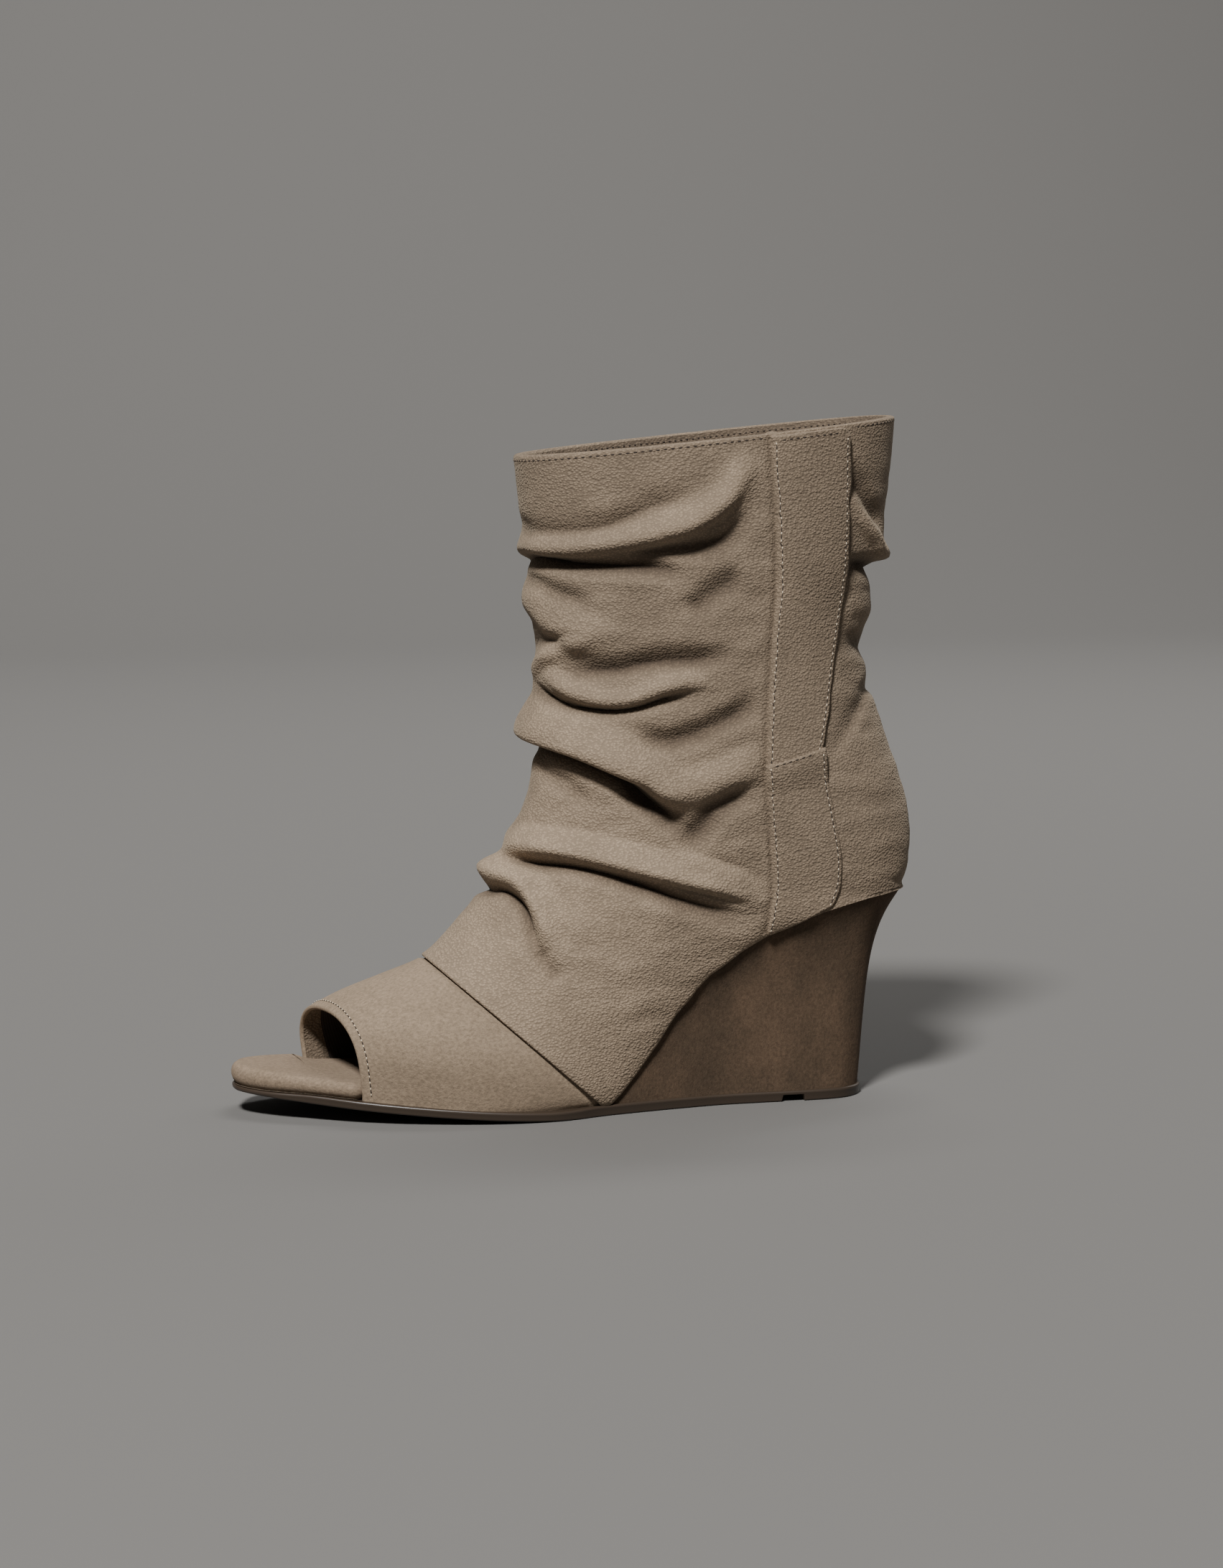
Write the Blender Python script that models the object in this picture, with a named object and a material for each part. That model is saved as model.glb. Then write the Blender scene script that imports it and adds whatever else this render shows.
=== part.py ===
"""Slouchy peep toe ankle boot on a covered full wedge, left foot, standing on its sole.

Metres, +Z up. The toe points to -X and the outer side of the foot is -Y.
The origin is on the floor, under the middle of the heel.
"""
import math

import bpy
import numpy as np

for thing in list(bpy.data.objects):
    bpy.data.objects.remove(thing, do_unlink=True)

# Driving sizes
FOOT_LENGTH = 0.2000      # origin to the tip of the sole
BOOT_HEIGHT = 0.2330      # floor to the back of the collar
HEEL_HEIGHT = 0.0720      # floor to the seam at the back of the heel
BALL_WIDTH = 0.0750       # sole across the ball
SHAFT_WIDTH = 0.0760      # shaft across the ankle and the collar
WALL = 0.0018             # upper with its lining
LAP = 0.0008              # rear panels standing proud of the vamp
GAP = 0.0003              # between pieces that touch
SOLE_TOE = 0.0030         # outsole thickness at the toe
SOLE_WAIST = 0.0037       # outsole thickness under the wedge
TOE_SPRING = 0.0082       # outsole lifted at the tip
SLOT_LENGTH = 0.0078      # slot across the outsole, along the foot
SLOT_DEPTH = 0.0022
SLOT_FRONT = -0.0145      # front wall of the slot
INSOLE_TOE = 0.0054       # padded footbed at the open toe
INSOLE_HEEL = 0.0030
INSOLE_ROUND = 0.0030     # rounding of the footbed's edge
INSOLE_THINS = (-0.80, -0.55)  # shares of the foot's length where the footbed goes thin
FOLD_HEIGHT = 0.0050      # the tallest slouch fold
FLAP_THICK = 0.0013
SHAFT_HEIGHT = BOOT_HEIGHT - HEEL_HEIGHT
FOLD_WIDTH = 0.0100       # one flank of a usual fold
FOLD_FADE = 0.18          # share of a fold's run over which it dies away
STEEPEST = 2.0            # steepest run of a fold that widens its flanks
CREASE_POWER = 1.6        # how sharp a crease runs in
OVERLAY_GAP = 0.0007      # flap and tab above the curved upper
SEAM_STEP = 0.03          # share of a section taken by the lap at the vamp seam
SOLE_BEVEL = 0.0006       # broken edges of the sole
SOLE_STEP = 0.0100        # length of sole between two cross-sections
TIP_FLAT = 0.0005         # narrow flat at the tip and the back
INSOLE_SETBACK = 0.0022   # footbed behind the edge of the sole at the open toe
RIM_REACH = (0.0080, 0.0025)  # before the open toe's rim, where the footbed narrows
INSOLE_ROOM = 0.0006      # footbed to the slanted wall of the upper
INSOLE_LIFT = 0.0002      # footbed above the seam's curve, clear of its flats
WEDGE_INSET = 0.0005      # wedge behind the edge of the sole
WEDGE_LEAN = 0.35         # share of the wedge's flare that is even up its side
WEDGE_CURVE = 5.5         # how late the rest of the flare comes
WEDGE_LEVELS = 9
FINE_STEPS = 8            # rings for each section where overlays are cut
FINE_COLUMNS = 96

# Sections of the upper, from the open toe to the collar. top_x, end_x: shares of
# the foot's length. top_z, end_z: levels, see level(); an end_z of None is on the
# seam. out, inn: widest half-width; end_out, end_in: half-width at the seam; both
# are shares of the ball's width, and of the shaft's width once the ring is closed.
# fat: where the ring is widest, from its end (0) to its top (1). crown, cup: how
# square the ring's top and end are. skew: slant across the foot. rings: how many
# rings lead to the next row.
SECTIONS = [
    # top_x   top_z  end_x   end_z  out    inn    end_out end_in fat   crown cup   skew  rings
    (-0.8450, 0.497, -0.8270, None, 0.335, 0.330, 0.325, 0.322, 0.36, 2.30, 1.60, 0.24, 2),
    (-0.8000, 0.566, -0.7300, None, 0.410, 0.415, 0.405, 0.410, 0.32, 2.20, 1.60, 0.12, 2),
    (-0.7400, 0.634, -0.6050, None, 0.478, 0.470, 0.470, 0.462, 0.28, 2.10, 1.60, 0.04, 3),
    (-0.6700, 0.717, -0.4000, None, 0.472, 0.452, 0.405, 0.385, 0.30, 2.05, 1.60, 0.00, 3),
    (-0.6250, 0.833, -0.3400, None, 0.455, 0.425, 0.384, 0.356, 0.32, 2.00, 1.50, 0.00, 3),
    (-0.5860, 0.958, -0.2800, None, 0.448, 0.420, 0.374, 0.344, 0.34, 2.00, 1.45, 0.00, 3),
    (-0.5600, 1.031, -0.2000, None, 0.448, 0.425, 0.374, 0.344, 0.37, 2.00, 1.45, 0.00, 3),
    (-0.5370, 1.084, -0.1000, None, 0.453, 0.440, 0.376, 0.358, 0.40, 2.00, 1.45, 0.00, 3),
    (-0.5100, 1.143, 0.0100, None, 0.440, 0.435, 0.378, 0.374, 0.44, 2.00, 1.50, 0.00, 2),
    (-0.4910, 1.199, 0.0950, None, 0.440, 0.435, 0.328, 0.328, 0.47, 2.00, 1.60, 0.00, 2),
    (-0.4810, 1.242, 0.1430, None, 0.440, 0.435, 0.200, 0.200, 0.48, 2.00, 1.80, 0.00, 2),
    (-0.4760, 1.283, 0.1610, None, 0.415, 0.415, 0.000, 0.000, 0.49, 2.05, 3.00, 0.00, 2),
    (-0.4760, 1.329, 0.1760, 1.093, 0.438, 0.438, 0.000, 0.000, 0.50, 2.10, 2.70, 0.00, 3),
    (-0.4785, 1.398, 0.1635, 1.205, 0.458, 0.458, 0.000, 0.000, 0.50, 2.10, 2.40, 0.00, 3),
    (-0.4735, 1.478, 0.1260, 1.342, 0.464, 0.464, 0.000, 0.000, 0.50, 2.10, 2.20, 0.00, 3),
    (-0.4760, 1.559, 0.0945, 1.478, 0.459, 0.459, 0.000, 0.000, 0.50, 2.15, 2.15, 0.00, 3),
    (-0.4835, 1.640, 0.0945, 1.596, 0.464, 0.464, 0.000, 0.000, 0.50, 2.15, 2.15, 0.00, 3),
    (-0.4860, 1.720, 0.1160, 1.714, 0.474, 0.474, 0.000, 0.000, 0.50, 2.20, 2.20, 0.00, 3),
    (-0.4970, 1.814, 0.1320, 1.857, 0.486, 0.486, 0.000, 0.000, 0.50, 2.20, 2.20, 0.00, 3),
    (-0.5070, 1.915, 0.1425, 2.000, 0.494, 0.494, 0.000, 0.000, 0.50, 2.25, 2.20, 0.00, 0),
]
CUP_ROW = 8               # from here back the rings follow the level slices of heel and shaft
VAMP_ROW = 3              # the vamp seam runs along this section
CLOSED_ROW = 11           # from here up the rings close at the back
CUP_CENTRE = -0.20        # share of the foot's length where heel and shaft are widest
COLUMNS = 42              # points around each ring

# Seam between the upper and what it stands on: share of the foot's length, and
# height above the outsole as a share of the heel's rise
SEAM = [
    # x       rise
    (-0.385, 0.000),
    (-0.367, 0.048),
    (-0.340, 0.140),
    (-0.308, 0.262),
    (-0.269, 0.430),
    (-0.233, 0.553),
    (-0.209, 0.624),
    (-0.169, 0.707),
    (-0.129, 0.780),
    (-0.088, 0.838),
    (-0.050, 0.882),
    (-0.010, 0.923),
    (0.025, 0.949),
    (0.073, 0.977),
    (0.125, 0.994),
    (0.165, 1.000),
]

# Outline of the outsole: share of the foot's length from the origin, and half-width
# to the outer and the inner side as shares of the ball's width
OUTLINE = [
    # x       out    inn
    (-1.002, -0.070, 0.070),
    (-0.998, -0.010, 0.150),
    (-0.980, 0.060, 0.250),
    (-0.945, 0.145, 0.330),
    (-0.905, 0.213, 0.385),
    (-0.870, 0.267, 0.415),
    (-0.800, 0.353, 0.450),
    (-0.735, 0.415, 0.472),
    (-0.650, 0.470, 0.490),
    (-0.570, 0.498, 0.497),
    (-0.500, 0.496, 0.490),
    (-0.450, 0.470, 0.452),
    (-0.390, 0.415, 0.400),
    (-0.300, 0.360, 0.345),
    (-0.240, 0.330, 0.322),
    (-0.180, 0.306, 0.305),
    (-0.100, 0.300, 0.300),
    (-0.040, 0.300, 0.300),
    (0.020, 0.288, 0.288),
    (0.055, 0.252, 0.252),
    (0.080, 0.170, 0.170),
    (0.090, 0.000, 0.000),
]
WEDGE_FRONT = -0.384      # share of the foot's length where the wedge begins


def level(share):
    """Height for a share: up to 1 it follows the heel, from 1 to 2 the shaft."""
    if share <= 1.0:
        return share * HEEL_HEIGHT
    return HEEL_HEIGHT + (share - 1.0) * SHAFT_HEIGHT


def blend(low, high, share):
    """Soft step from 0 to 1 as share goes from low to high."""
    way = np.clip((share - low) / (high - low), 0.0, 1.0)
    return way * way * (3.0 - 2.0 * way)


def curve_through(values, place):
    """Smooth curve through equally spaced values, read at a fractional row."""
    last = len(values) - 1
    row = int(min(max(math.floor(place), 0), last - 1))
    way = place - row
    before = values[max(row - 1, 0)]
    start = values[row]
    stop = values[row + 1]
    after = values[min(row + 2, last)]
    leave = 0.5 * (stop - before)
    arrive = 0.5 * (after - start)
    square = way * way
    cube = square * way
    return ((2 * cube - 3 * square + 1) * start + (cube - 2 * square + way) * leave
            + (3 * square - 2 * cube) * stop + (cube - square) * arrive)


def spring(x):
    """Underside of the outsole: lifted at the toe, on the floor from the ball back."""
    lifted = np.clip((-x / FOOT_LENGTH - 0.44) / 0.56, 0.0, 1.0)
    return TOE_SPRING * (1.30 * lifted ** 1.55 - 0.30 * lifted ** 3)


def sole_top(x):
    thick = SOLE_TOE + (SOLE_WAIST - SOLE_TOE) * blend(-0.50, -0.40, x / FOOT_LENGTH)
    return spring(x) + thick


def seam_height(x):
    """Line where the upper meets the outsole, and further back the wedge."""
    shares = [row[0] for row in SEAM]
    rises = [row[1] for row in SEAM]
    floor = sole_top(x) + GAP
    rise = np.interp(x / FOOT_LENGTH, shares, rises)
    return floor + rise * (HEEL_HEIGHT - SOLE_WAIST - GAP)


def section(place):
    """Values of the sections' table at a fractional row, as lengths."""
    rows = []
    for row in SECTIONS:
        top_x, top_z, end_x, end_z, out, inn, end_out, end_in, fat, crown, cup, skew, rings = row
        end_x = end_x * FOOT_LENGTH
        height = seam_height(end_x) if end_z is None else level(end_z)
        width = BALL_WIDTH if end_z is None else SHAFT_WIDTH
        rows.append((top_x * FOOT_LENGTH, level(top_z), end_x, height, out * width, inn * width,
                     end_out * BALL_WIDTH, end_in * BALL_WIDTH, fat, crown, cup, skew))
    values = [curve_through([row[column] for row in rows], place) for column in range(len(rows[0]))]
    if place < CLOSED_ROW:
        values[3] = seam_height(values[2])
    return values


def level_slice(height):
    """Back end, half-width and squareness of the heel or the shaft at a height."""
    rows = SECTIONS[CLOSED_ROW:]
    heights = [level(1.0 if row[3] is None else row[3]) for row in rows]
    reads = np.interp(height, heights, range(len(rows)))
    found = []
    for column in (2, 4, 10):
        values = [row[column] for row in rows]
        found.append(np.array([curve_through(values, read) for read in np.atleast_1d(reads)]))
    back, wide, square = found
    return back * FOOT_LENGTH, wide * SHAFT_WIDTH, square


def quarters(wide, fat, crown, cup):
    """Share along and width across of half a ring, from its top to its end."""
    turn = np.linspace(0.0, math.pi / 2, 40)
    along = fat + (1.0 - fat) * np.cos(turn) ** (2.0 / crown)
    across = wide * np.sin(turn) ** (2.0 / crown)
    drop = fat * (1.0 - np.sin(turn) ** (2.0 / cup))
    taper = np.cos(turn) ** (2.0 / cup)
    return along, across, drop[1:], taper[1:]


def half_ring(values, side, place):
    """One side of a ring from its top to its end, as a fine line."""
    top_x, top_z, end_x, end_z, out, inn, end_out, end_in, fat, crown, cup, skew = values
    far = blend(CUP_ROW - 1.0, CUP_ROW, place)
    lines = []
    if far < 1.0:
        wide = out if side < 0 else inn
        end = end_out if side < 0 else end_in
        along, across, drop, taper = quarters(wide, fat, crown, cup)
        lines.append((1.0 - far, np.concatenate([along, drop]),
                      np.concatenate([across, end + (wide - end) * taper])))
    if far > 0.0:
        centre = CUP_CENTRE * FOOT_LENGTH
        fat = (centre - end_x) / (top_x - end_x)
        wide = level_slice(end_z + (top_z - end_z) * fat)[1][0]
        along, across, drop, taper = quarters(wide, fat, crown, 2.0)
        x = end_x + (top_x - end_x) * drop
        back, wide, square = level_slice(end_z + (top_z - end_z) * drop)
        share = np.clip((x - centre) / (back - centre), 0.0, 1.0)
        lines.append((far, np.concatenate([along, drop]),
                      np.concatenate([across, wide * (1.0 - share ** square) ** (1.0 / square)])))
    along = sum(weight * line for weight, line, _ in lines)
    y = side * sum(weight * line for weight, _, line in lines)
    x = end_x + (top_x - end_x) * along - skew * y
    z = end_z + (top_z - end_z) * along
    return np.stack([x, y, z], axis=1)


def ring(place, columns):
    """A ring of points from the outer end over the top to the inner end."""
    values = section(place)
    outer = half_ring(values, -1.0, place)[::-1]
    inner = half_ring(values, 1.0, place)
    halves = []
    for line in (outer, inner):
        steps = np.linalg.norm(np.diff(line, axis=0), axis=1)
        length = np.concatenate([[0.0], np.cumsum(steps)])
        read = np.linspace(0.0, length[-1], columns // 2 + 1)
        halves.append(np.stack([np.interp(read, length, line[:, axis]) for axis in range(3)], axis=1))
    points = np.concatenate([halves[0][:-1], halves[1]])
    if place < CLOSED_ROW:
        for end in (0, -1):
            points[end, 2] = seam_height(points[end, 0])
    return points


# Slouch folds. Each crosses the columns on a curve through three points: start,
# middle and stop. A side of -1 is the outer end of a ring or the back of the shaft,
# 0 its top or front, 1 the inner end; a row counts in sections. height is a share of
# FOLD_HEIGHT, below 0 for a crease; above and below are the widths of its two flanks
# as shares of FOLD_WIDTH; hang lets it sag by a share of FOLD_HEIGHT.
FOLDS = [
    # side    row    side   row    side   row   height above below hang
    # outer side and front, from the collar down
    (-0.60, 19.00, -0.28, 17.50, 0.03, 17.15, 0.65, 1.50, 0.70, 0.45),
    (-0.47, 16.60, -0.20, 16.72, 0.10, 16.75, -0.50, 0.70, 0.90, 0.00),
    (-0.57, 18.20, -0.45, 17.30, -0.34, 17.15, -0.30, 0.70, 0.70, 0.00),
    (-0.57, 16.75, -0.49, 16.45, -0.40, 15.95, -0.30, 0.70, 0.70, 0.00),
    (-0.34, 15.10, -0.12, 15.40, 0.24, 15.90, 0.40, 1.30, 0.80, 0.30),
    (-0.58, 15.00, -0.26, 14.45, 0.18, 14.15, -0.45, 0.90, 1.00, 0.00),
    (-0.50, 14.90, -0.26, 13.80, -0.03, 13.95, 0.40, 0.80, 0.70, 0.25),
    (-0.47, 14.30, -0.19, 13.32, 0.05, 13.55, -0.30, 0.70, 0.70, 0.00),
    (-0.60, 14.60, -0.44, 13.60, -0.28, 12.90, -0.40, 0.80, 1.00, 0.00),
    (-0.39, 11.20, -0.12, 12.40, 0.30, 12.60, 1.00, 1.40, 0.90, 0.45),
    (-0.42, 10.20, -0.20, 11.65, 0.08, 11.75, -0.65, 0.80, 0.90, 0.00),
    (-0.90, 7.50, -0.42, 7.95, 0.05, 7.50, 0.75, 1.00, 0.70, 0.30),
    (-0.88, 7.00, -0.45, 7.35, -0.12, 7.10, -0.35, 0.70, 0.70, 0.00),
    (-0.54, 4.95, 0.00, 6.70, 0.52, 5.10, 0.85, 1.00, 0.80, 0.25),
    (-0.60, 4.10, 0.00, 5.70, 0.54, 4.50, -0.45, 0.70, 0.80, 0.00),
    # across the back
    (-1.32, 17.40, -1.00, 17.15, -0.72, 17.95, 0.45, 1.20, 0.70, 0.30),
    (-1.28, 16.60, -1.00, 16.62, -0.74, 16.95, -0.55, 0.70, 0.80, 0.00),
    (-1.24, 15.10, -1.00, 15.25, -0.78, 16.00, -0.30, 0.70, 0.70, 0.00),
    (-1.30, 13.60, -1.00, 14.60, -0.70, 13.30, -0.20, 0.90, 0.70, 0.00),
    # inner side
    (-0.03, 17.15, 0.28, 17.45, 0.60, 18.80, 0.65, 1.50, 0.70, 0.45),
    (0.02, 16.80, 0.30, 16.80, 0.62, 17.40, -0.45, 0.70, 0.90, 0.00),
    (0.14, 15.70, 0.45, 16.15, 0.85, 15.60, 0.50, 1.30, 0.80, 0.30),
    (0.10, 14.60, 0.40, 15.20, 0.76, 14.90, -0.45, 0.80, 0.90, 0.00),
    (0.10, 13.70, 0.40, 14.05, 0.76, 13.60, 0.45, 1.00, 0.70, 0.30),
    (0.04, 13.20, 0.35, 13.20, 0.66, 13.30, -0.35, 0.70, 0.80, 0.00),
    (0.00, 11.70, 0.30, 11.70, 0.62, 12.30, -0.55, 0.80, 0.90, 0.00),
    (0.10, 9.40, 0.40, 9.90, 0.76, 9.60, 0.45, 1.00, 0.80, 0.30),
    (-0.05, 7.50, 0.38, 8.10, 0.74, 8.40, 0.55, 1.00, 0.90, 0.15),
    (0.08, 7.00, 0.40, 7.25, 0.70, 7.60, -0.35, 0.70, 0.70, 0.00),
]

# Edges of the zip flap and of the tab below it: sections' row and side, front edge
# and rear edge
FLAP_EDGES = [
    # row   side    row    side
    (18.94, -0.586, 18.94, -0.760),
    (17.50, -0.602, 17.50, -0.764),
    (16.40, -0.618, 16.40, -0.778),
    (15.20, -0.616, 15.20, -0.768),
    (14.20, -0.596, 14.20, -0.728),
    (13.12, -0.570, 13.60, -0.694),
]
TAB_EDGES = [
    # row   side    row    side
    (12.95, -0.564, 13.43, -0.694),
    (12.10, -0.556, 12.85, -0.690),
    (10.70, -0.610, 12.20, -0.688),
    (9.30, -0.680, 11.40, -0.700),
    (7.98, -0.826, 9.50, -0.835),
    (7.16, -0.980, 8.04, -0.980),
]


def fold_row(side, fold):
    """Row of a fold at a side, on the curve through its three points."""
    side_a, row_a, side_b, row_b, side_c, row_c = fold[:6]
    first = (side - side_b) * (side - side_c) / ((side_a - side_b) * (side_a - side_c))
    second = (side - side_a) * (side - side_c) / ((side_b - side_a) * (side_b - side_c))
    third = (side - side_a) * (side - side_b) / ((side_c - side_a) * (side_c - side_b))
    return row_a * first + row_b * second + row_c * third


def with_folds(points, outward, rows, sides):
    """The same grid of points with the folds lifted and hung."""
    steps = np.linalg.norm(np.diff(points, axis=0), axis=2)
    length = np.concatenate([np.zeros((1, len(sides))), np.cumsum(steps, axis=0)])
    upward = np.gradient(points, axis=0)
    upward /= np.linalg.norm(upward, axis=2, keepdims=True)
    lift = np.zeros(points.shape[:2])
    sag = np.zeros(points.shape[:2])
    for fold in FOLDS:
        start, stop = fold[0], fold[4]
        height, above, below, hang = fold[6:10]
        turned = np.array([side - 2.0 if side - 2.0 > start else side for side in sides])
        paths = [np.interp(fold_row(turn, fold), rows, length[:, column])
                 for column, turn in enumerate(turned)]
        for column, turn in enumerate(turned):
            way = (turn - start) / (stop - start)
            if not 0.0 < way < 1.0:
                continue
            fade = min(blend(0.0, FOLD_FADE, way), blend(0.0, FOLD_FADE, 1.0 - way))
            row = int(np.argmin(np.abs(np.array(rows) - fold_row(turn, fold))))
            left, right = max(column - 1, 0), min(column + 1, len(sides) - 1)
            apart = np.linalg.norm(points[row, right] - points[row, left])
            slope = abs(paths[right] - paths[left]) / apart if turned[right] - turned[left] > 0.0 else 0.0
            slant = math.sqrt(1.0 + min(slope, STEEPEST) ** 2)
            over = length[:, column] - paths[column]
            flank = np.where(over > 0, above, below) * FOLD_WIDTH * slant
            near = np.clip(np.abs(over) / flank, 0.0, 1.0)
            form = 0.5 + 0.5 * np.cos(math.pi * near)
            if height < 0.0:
                form = 0.5 * form + 0.5 * (1.0 - near) ** CREASE_POWER
            lift[:, column] += fade * height * FOLD_HEIGHT * form
            sag[:, column] += fade * hang * FOLD_HEIGHT * form
    return points + outward * lift[..., None] - upward * sag[..., None]


def outward_of(points, rows):
    """Unit normals of a grid that runs from the outer side over the top."""
    along = np.gradient(points, axis=0)
    across = np.gradient(points, axis=1)
    closed = list(rows).index(float(CLOSED_ROW))
    across[closed:, 0] = points[closed:, 1] - points[closed:, -2]
    across[closed:, -1] = across[closed:, 0]
    facing = np.cross(along, across)
    return facing / np.linalg.norm(facing, axis=2, keepdims=True)


def places():
    """Rows at which the upper's rings are set, with two close ones at the vamp seam."""
    found = []
    for row, values in enumerate(SECTIONS[:-1]):
        steps = values[-1]
        found += [row + step / steps for step in range(steps)]
        if row == VAMP_ROW - 1:
            found.append(VAMP_ROW - SEAM_STEP)
    return found + [float(len(SECTIONS) - 1)]


def skin(rows, columns):
    """Base, middle and normals of the upper on a grid of rows and columns."""
    base = np.array([ring(place, columns) for place in rows])
    outward = outward_of(base, rows)
    folded = with_folds(base, outward, rows, np.linspace(-1.0, 1.0, columns + 1))
    return base, folded, outward


def upper_surfaces(rows, columns):
    """Outer and inner face of the upper as two grids of points."""
    base, folded, outward = skin(rows, columns)
    proud = np.array([LAP if place >= VAMP_ROW else 0.0 for place in rows])
    outer = folded + outward * proud[:, None, None]
    inner = folded - outward * WALL
    closed = rows.index(float(CLOSED_ROW))
    seam = slice(0, closed + 1)
    for end in (0, -1):
        flat = outward[seam, end] * np.array([1.0, 1.0, 0.0])
        flat /= np.linalg.norm(flat, axis=1, keepdims=True)
        outer[seam, end] = base[seam, end] + flat * proud[seam, None]
        inner[seam, end] = base[seam, end] - flat * WALL
        for edge in (outer, inner):
            edge[seam, end, 2] = [seam_height(x) for x in edge[seam, end, 0]]
    outer[closed:, -1] = outer[closed:, 0]
    inner[closed:, -1] = inner[closed:, 0]
    return outer, inner


def material(name, colour, rough):
    made = bpy.data.materials.new(name)
    made.use_nodes = True
    shader = made.node_tree.nodes["Principled BSDF"]
    shader.inputs["Base Color"].default_value = (*colour, 1.0)
    shader.inputs["Roughness"].default_value = rough
    made.diffuse_color = (*colour, 1.0)
    return made


def add_object(name, verts, faces, finish):
    """A named object from points and faces; points that no face uses are dropped."""
    used = sorted({corner for face in faces for corner in face})
    number = {corner: place for place, corner in enumerate(used)}
    mesh = bpy.data.meshes.new(name)
    mesh.from_pydata([tuple(map(float, verts[corner])) for corner in used], [],
                     [[number[corner] for corner in face] for face in faces])
    mesh.shade_smooth()
    mesh.set_sharp_from_angle(angle=math.radians(40.0))
    mesh.materials.append(finish)
    thing = bpy.data.objects.new(name, mesh)
    bpy.context.scene.collection.objects.link(thing)
    return thing


def upper(finish):
    """One hollow wall: outer face, inner face, and the edges that join them."""
    rows = places()
    closed = rows.index(float(CLOSED_ROW))
    outer, inner = upper_surfaces(rows, COLUMNS)
    rings, columns = outer.shape[:2]

    def index(face, step, column):
        if step >= closed and column == columns - 1:
            column = 0
        return face * rings * columns + step * columns + column

    faces = []
    for step in range(rings - 1):
        for column in range(columns - 1):
            corners = [(step, column), (step + 1, column), (step + 1, column + 1), (step, column + 1)]
            faces.append([index(0, *corner) for corner in corners])
            faces.append([index(1, *corner) for corner in reversed(corners)])
    top = rings - 1
    for column in range(columns - 1):
        faces.append([index(0, 0, column), index(0, 0, column + 1), index(1, 0, column + 1),
                      index(1, 0, column)])
        faces.append([index(1, top, column), index(1, top, column + 1), index(0, top, column + 1),
                      index(0, top, column)])
    last = columns - 1
    for step in range(closed):
        faces.append([index(0, step + 1, 0), index(0, step, 0), index(1, step, 0), index(1, step + 1, 0)])
        faces.append([index(1, step + 1, last), index(1, step, last), index(0, step, last),
                      index(0, step + 1, last)])
    verts = np.concatenate([outer.reshape(-1, 3), inner.reshape(-1, 3)])
    return add_object("upper", verts, faces, finish)


def slab(name, under, over, finish):
    """A closed solid between two grids of points of the same size."""
    steps, columns = under.shape[:2]

    def index(face, step, column):
        return face * steps * columns + step * columns + column

    faces = []
    for step in range(steps - 1):
        for column in range(columns - 1):
            corners = [(step, column), (step, column + 1), (step + 1, column + 1), (step + 1, column)]
            faces.append([index(0, *corner) for corner in corners])
            faces.append([index(1, *corner) for corner in reversed(corners)])
    rim = [(0, column) for column in range(columns)]
    rim += [(step, columns - 1) for step in range(1, steps)]
    rim += [(steps - 1, column) for column in range(columns - 2, -1, -1)]
    rim += [(step, 0) for step in range(steps - 2, 0, -1)]
    for place, corner in enumerate(rim):
        after = rim[(place + 1) % len(rim)]
        faces.append([index(1, *corner), index(1, *after), index(0, *after), index(0, *corner)])
    verts = np.concatenate([under.reshape(-1, 3), over.reshape(-1, 3)])
    return add_object(name, verts, faces, finish)


def read_grid(grid, rows, sides, row, side):
    """Point of a grid at a fractional row and side."""
    step = min(int(np.searchsorted(rows, row, side="right")) - 1, len(rows) - 2)
    column = min(int(np.searchsorted(sides, side, side="right")) - 1, len(sides) - 2)
    down = (row - rows[step]) / (rows[step + 1] - rows[step])
    over = (side - sides[column]) / (sides[column + 1] - sides[column])
    first = grid[step, column] * (1.0 - over) + grid[step, column + 1] * over
    second = grid[step + 1, column] * (1.0 - over) + grid[step + 1, column + 1] * over
    return first * (1.0 - down) + second * down


def overlay(name, edges, down, across, finish):
    """A thin piece lying on the outer face of the upper, between a front and a rear edge."""
    rows = [step / FINE_STEPS for step in range((len(SECTIONS) - 1) * FINE_STEPS + 1)]
    sides = np.linspace(-1.0, 1.0, FINE_COLUMNS + 1)
    folded, outward = skin(rows, FINE_COLUMNS)[1:]
    under = np.zeros((down + 1, across + 1, 3))
    over = np.zeros((down + 1, across + 1, 3))
    for step in range(down + 1):
        read = step / down * (len(edges) - 1)
        row_f, side_f, row_r, side_r = [curve_through([edge[k] for edge in edges], read) for k in range(4)]
        for column in range(across + 1):
            share = column / across
            row = row_f + (row_r - row_f) * share
            side = side_f + (side_r - side_f) * share
            facing = read_grid(outward, rows, sides, row, side)
            facing /= np.linalg.norm(facing)
            point = read_grid(folded, rows, sides, row, side) + facing * (LAP + OVERLAY_GAP)
            under[step, column] = point
            over[step, column] = point + facing * FLAP_THICK
    return slab(name, under, over, finish)


def tube_of_sections(name, sections, finish):
    """A closed solid through cross-sections with the same number of points each."""
    count = len(sections[0])
    verts = [point for points in sections for point in points]
    faces = [list(range(count))]
    for step in range(len(sections) - 1):
        base = step * count
        for corner in range(count):
            after = (corner + 1) % count
            faces.append([base + corner, base + count + corner, base + count + after, base + after])
    last = (len(sections) - 1) * count
    faces.append(list(range(last, last + count))[::-1])
    return add_object(name, np.array(verts), faces, finish)


def sole_widths(x):
    """Half-widths of the outsole to the outer and the inner side."""
    shares = [row[0] for row in OUTLINE]
    read = np.interp(x / FOOT_LENGTH, shares, range(len(shares)))
    return [curve_through([row[side] for row in OUTLINE], read) * BALL_WIDTH for side in (1, 2)]


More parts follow.
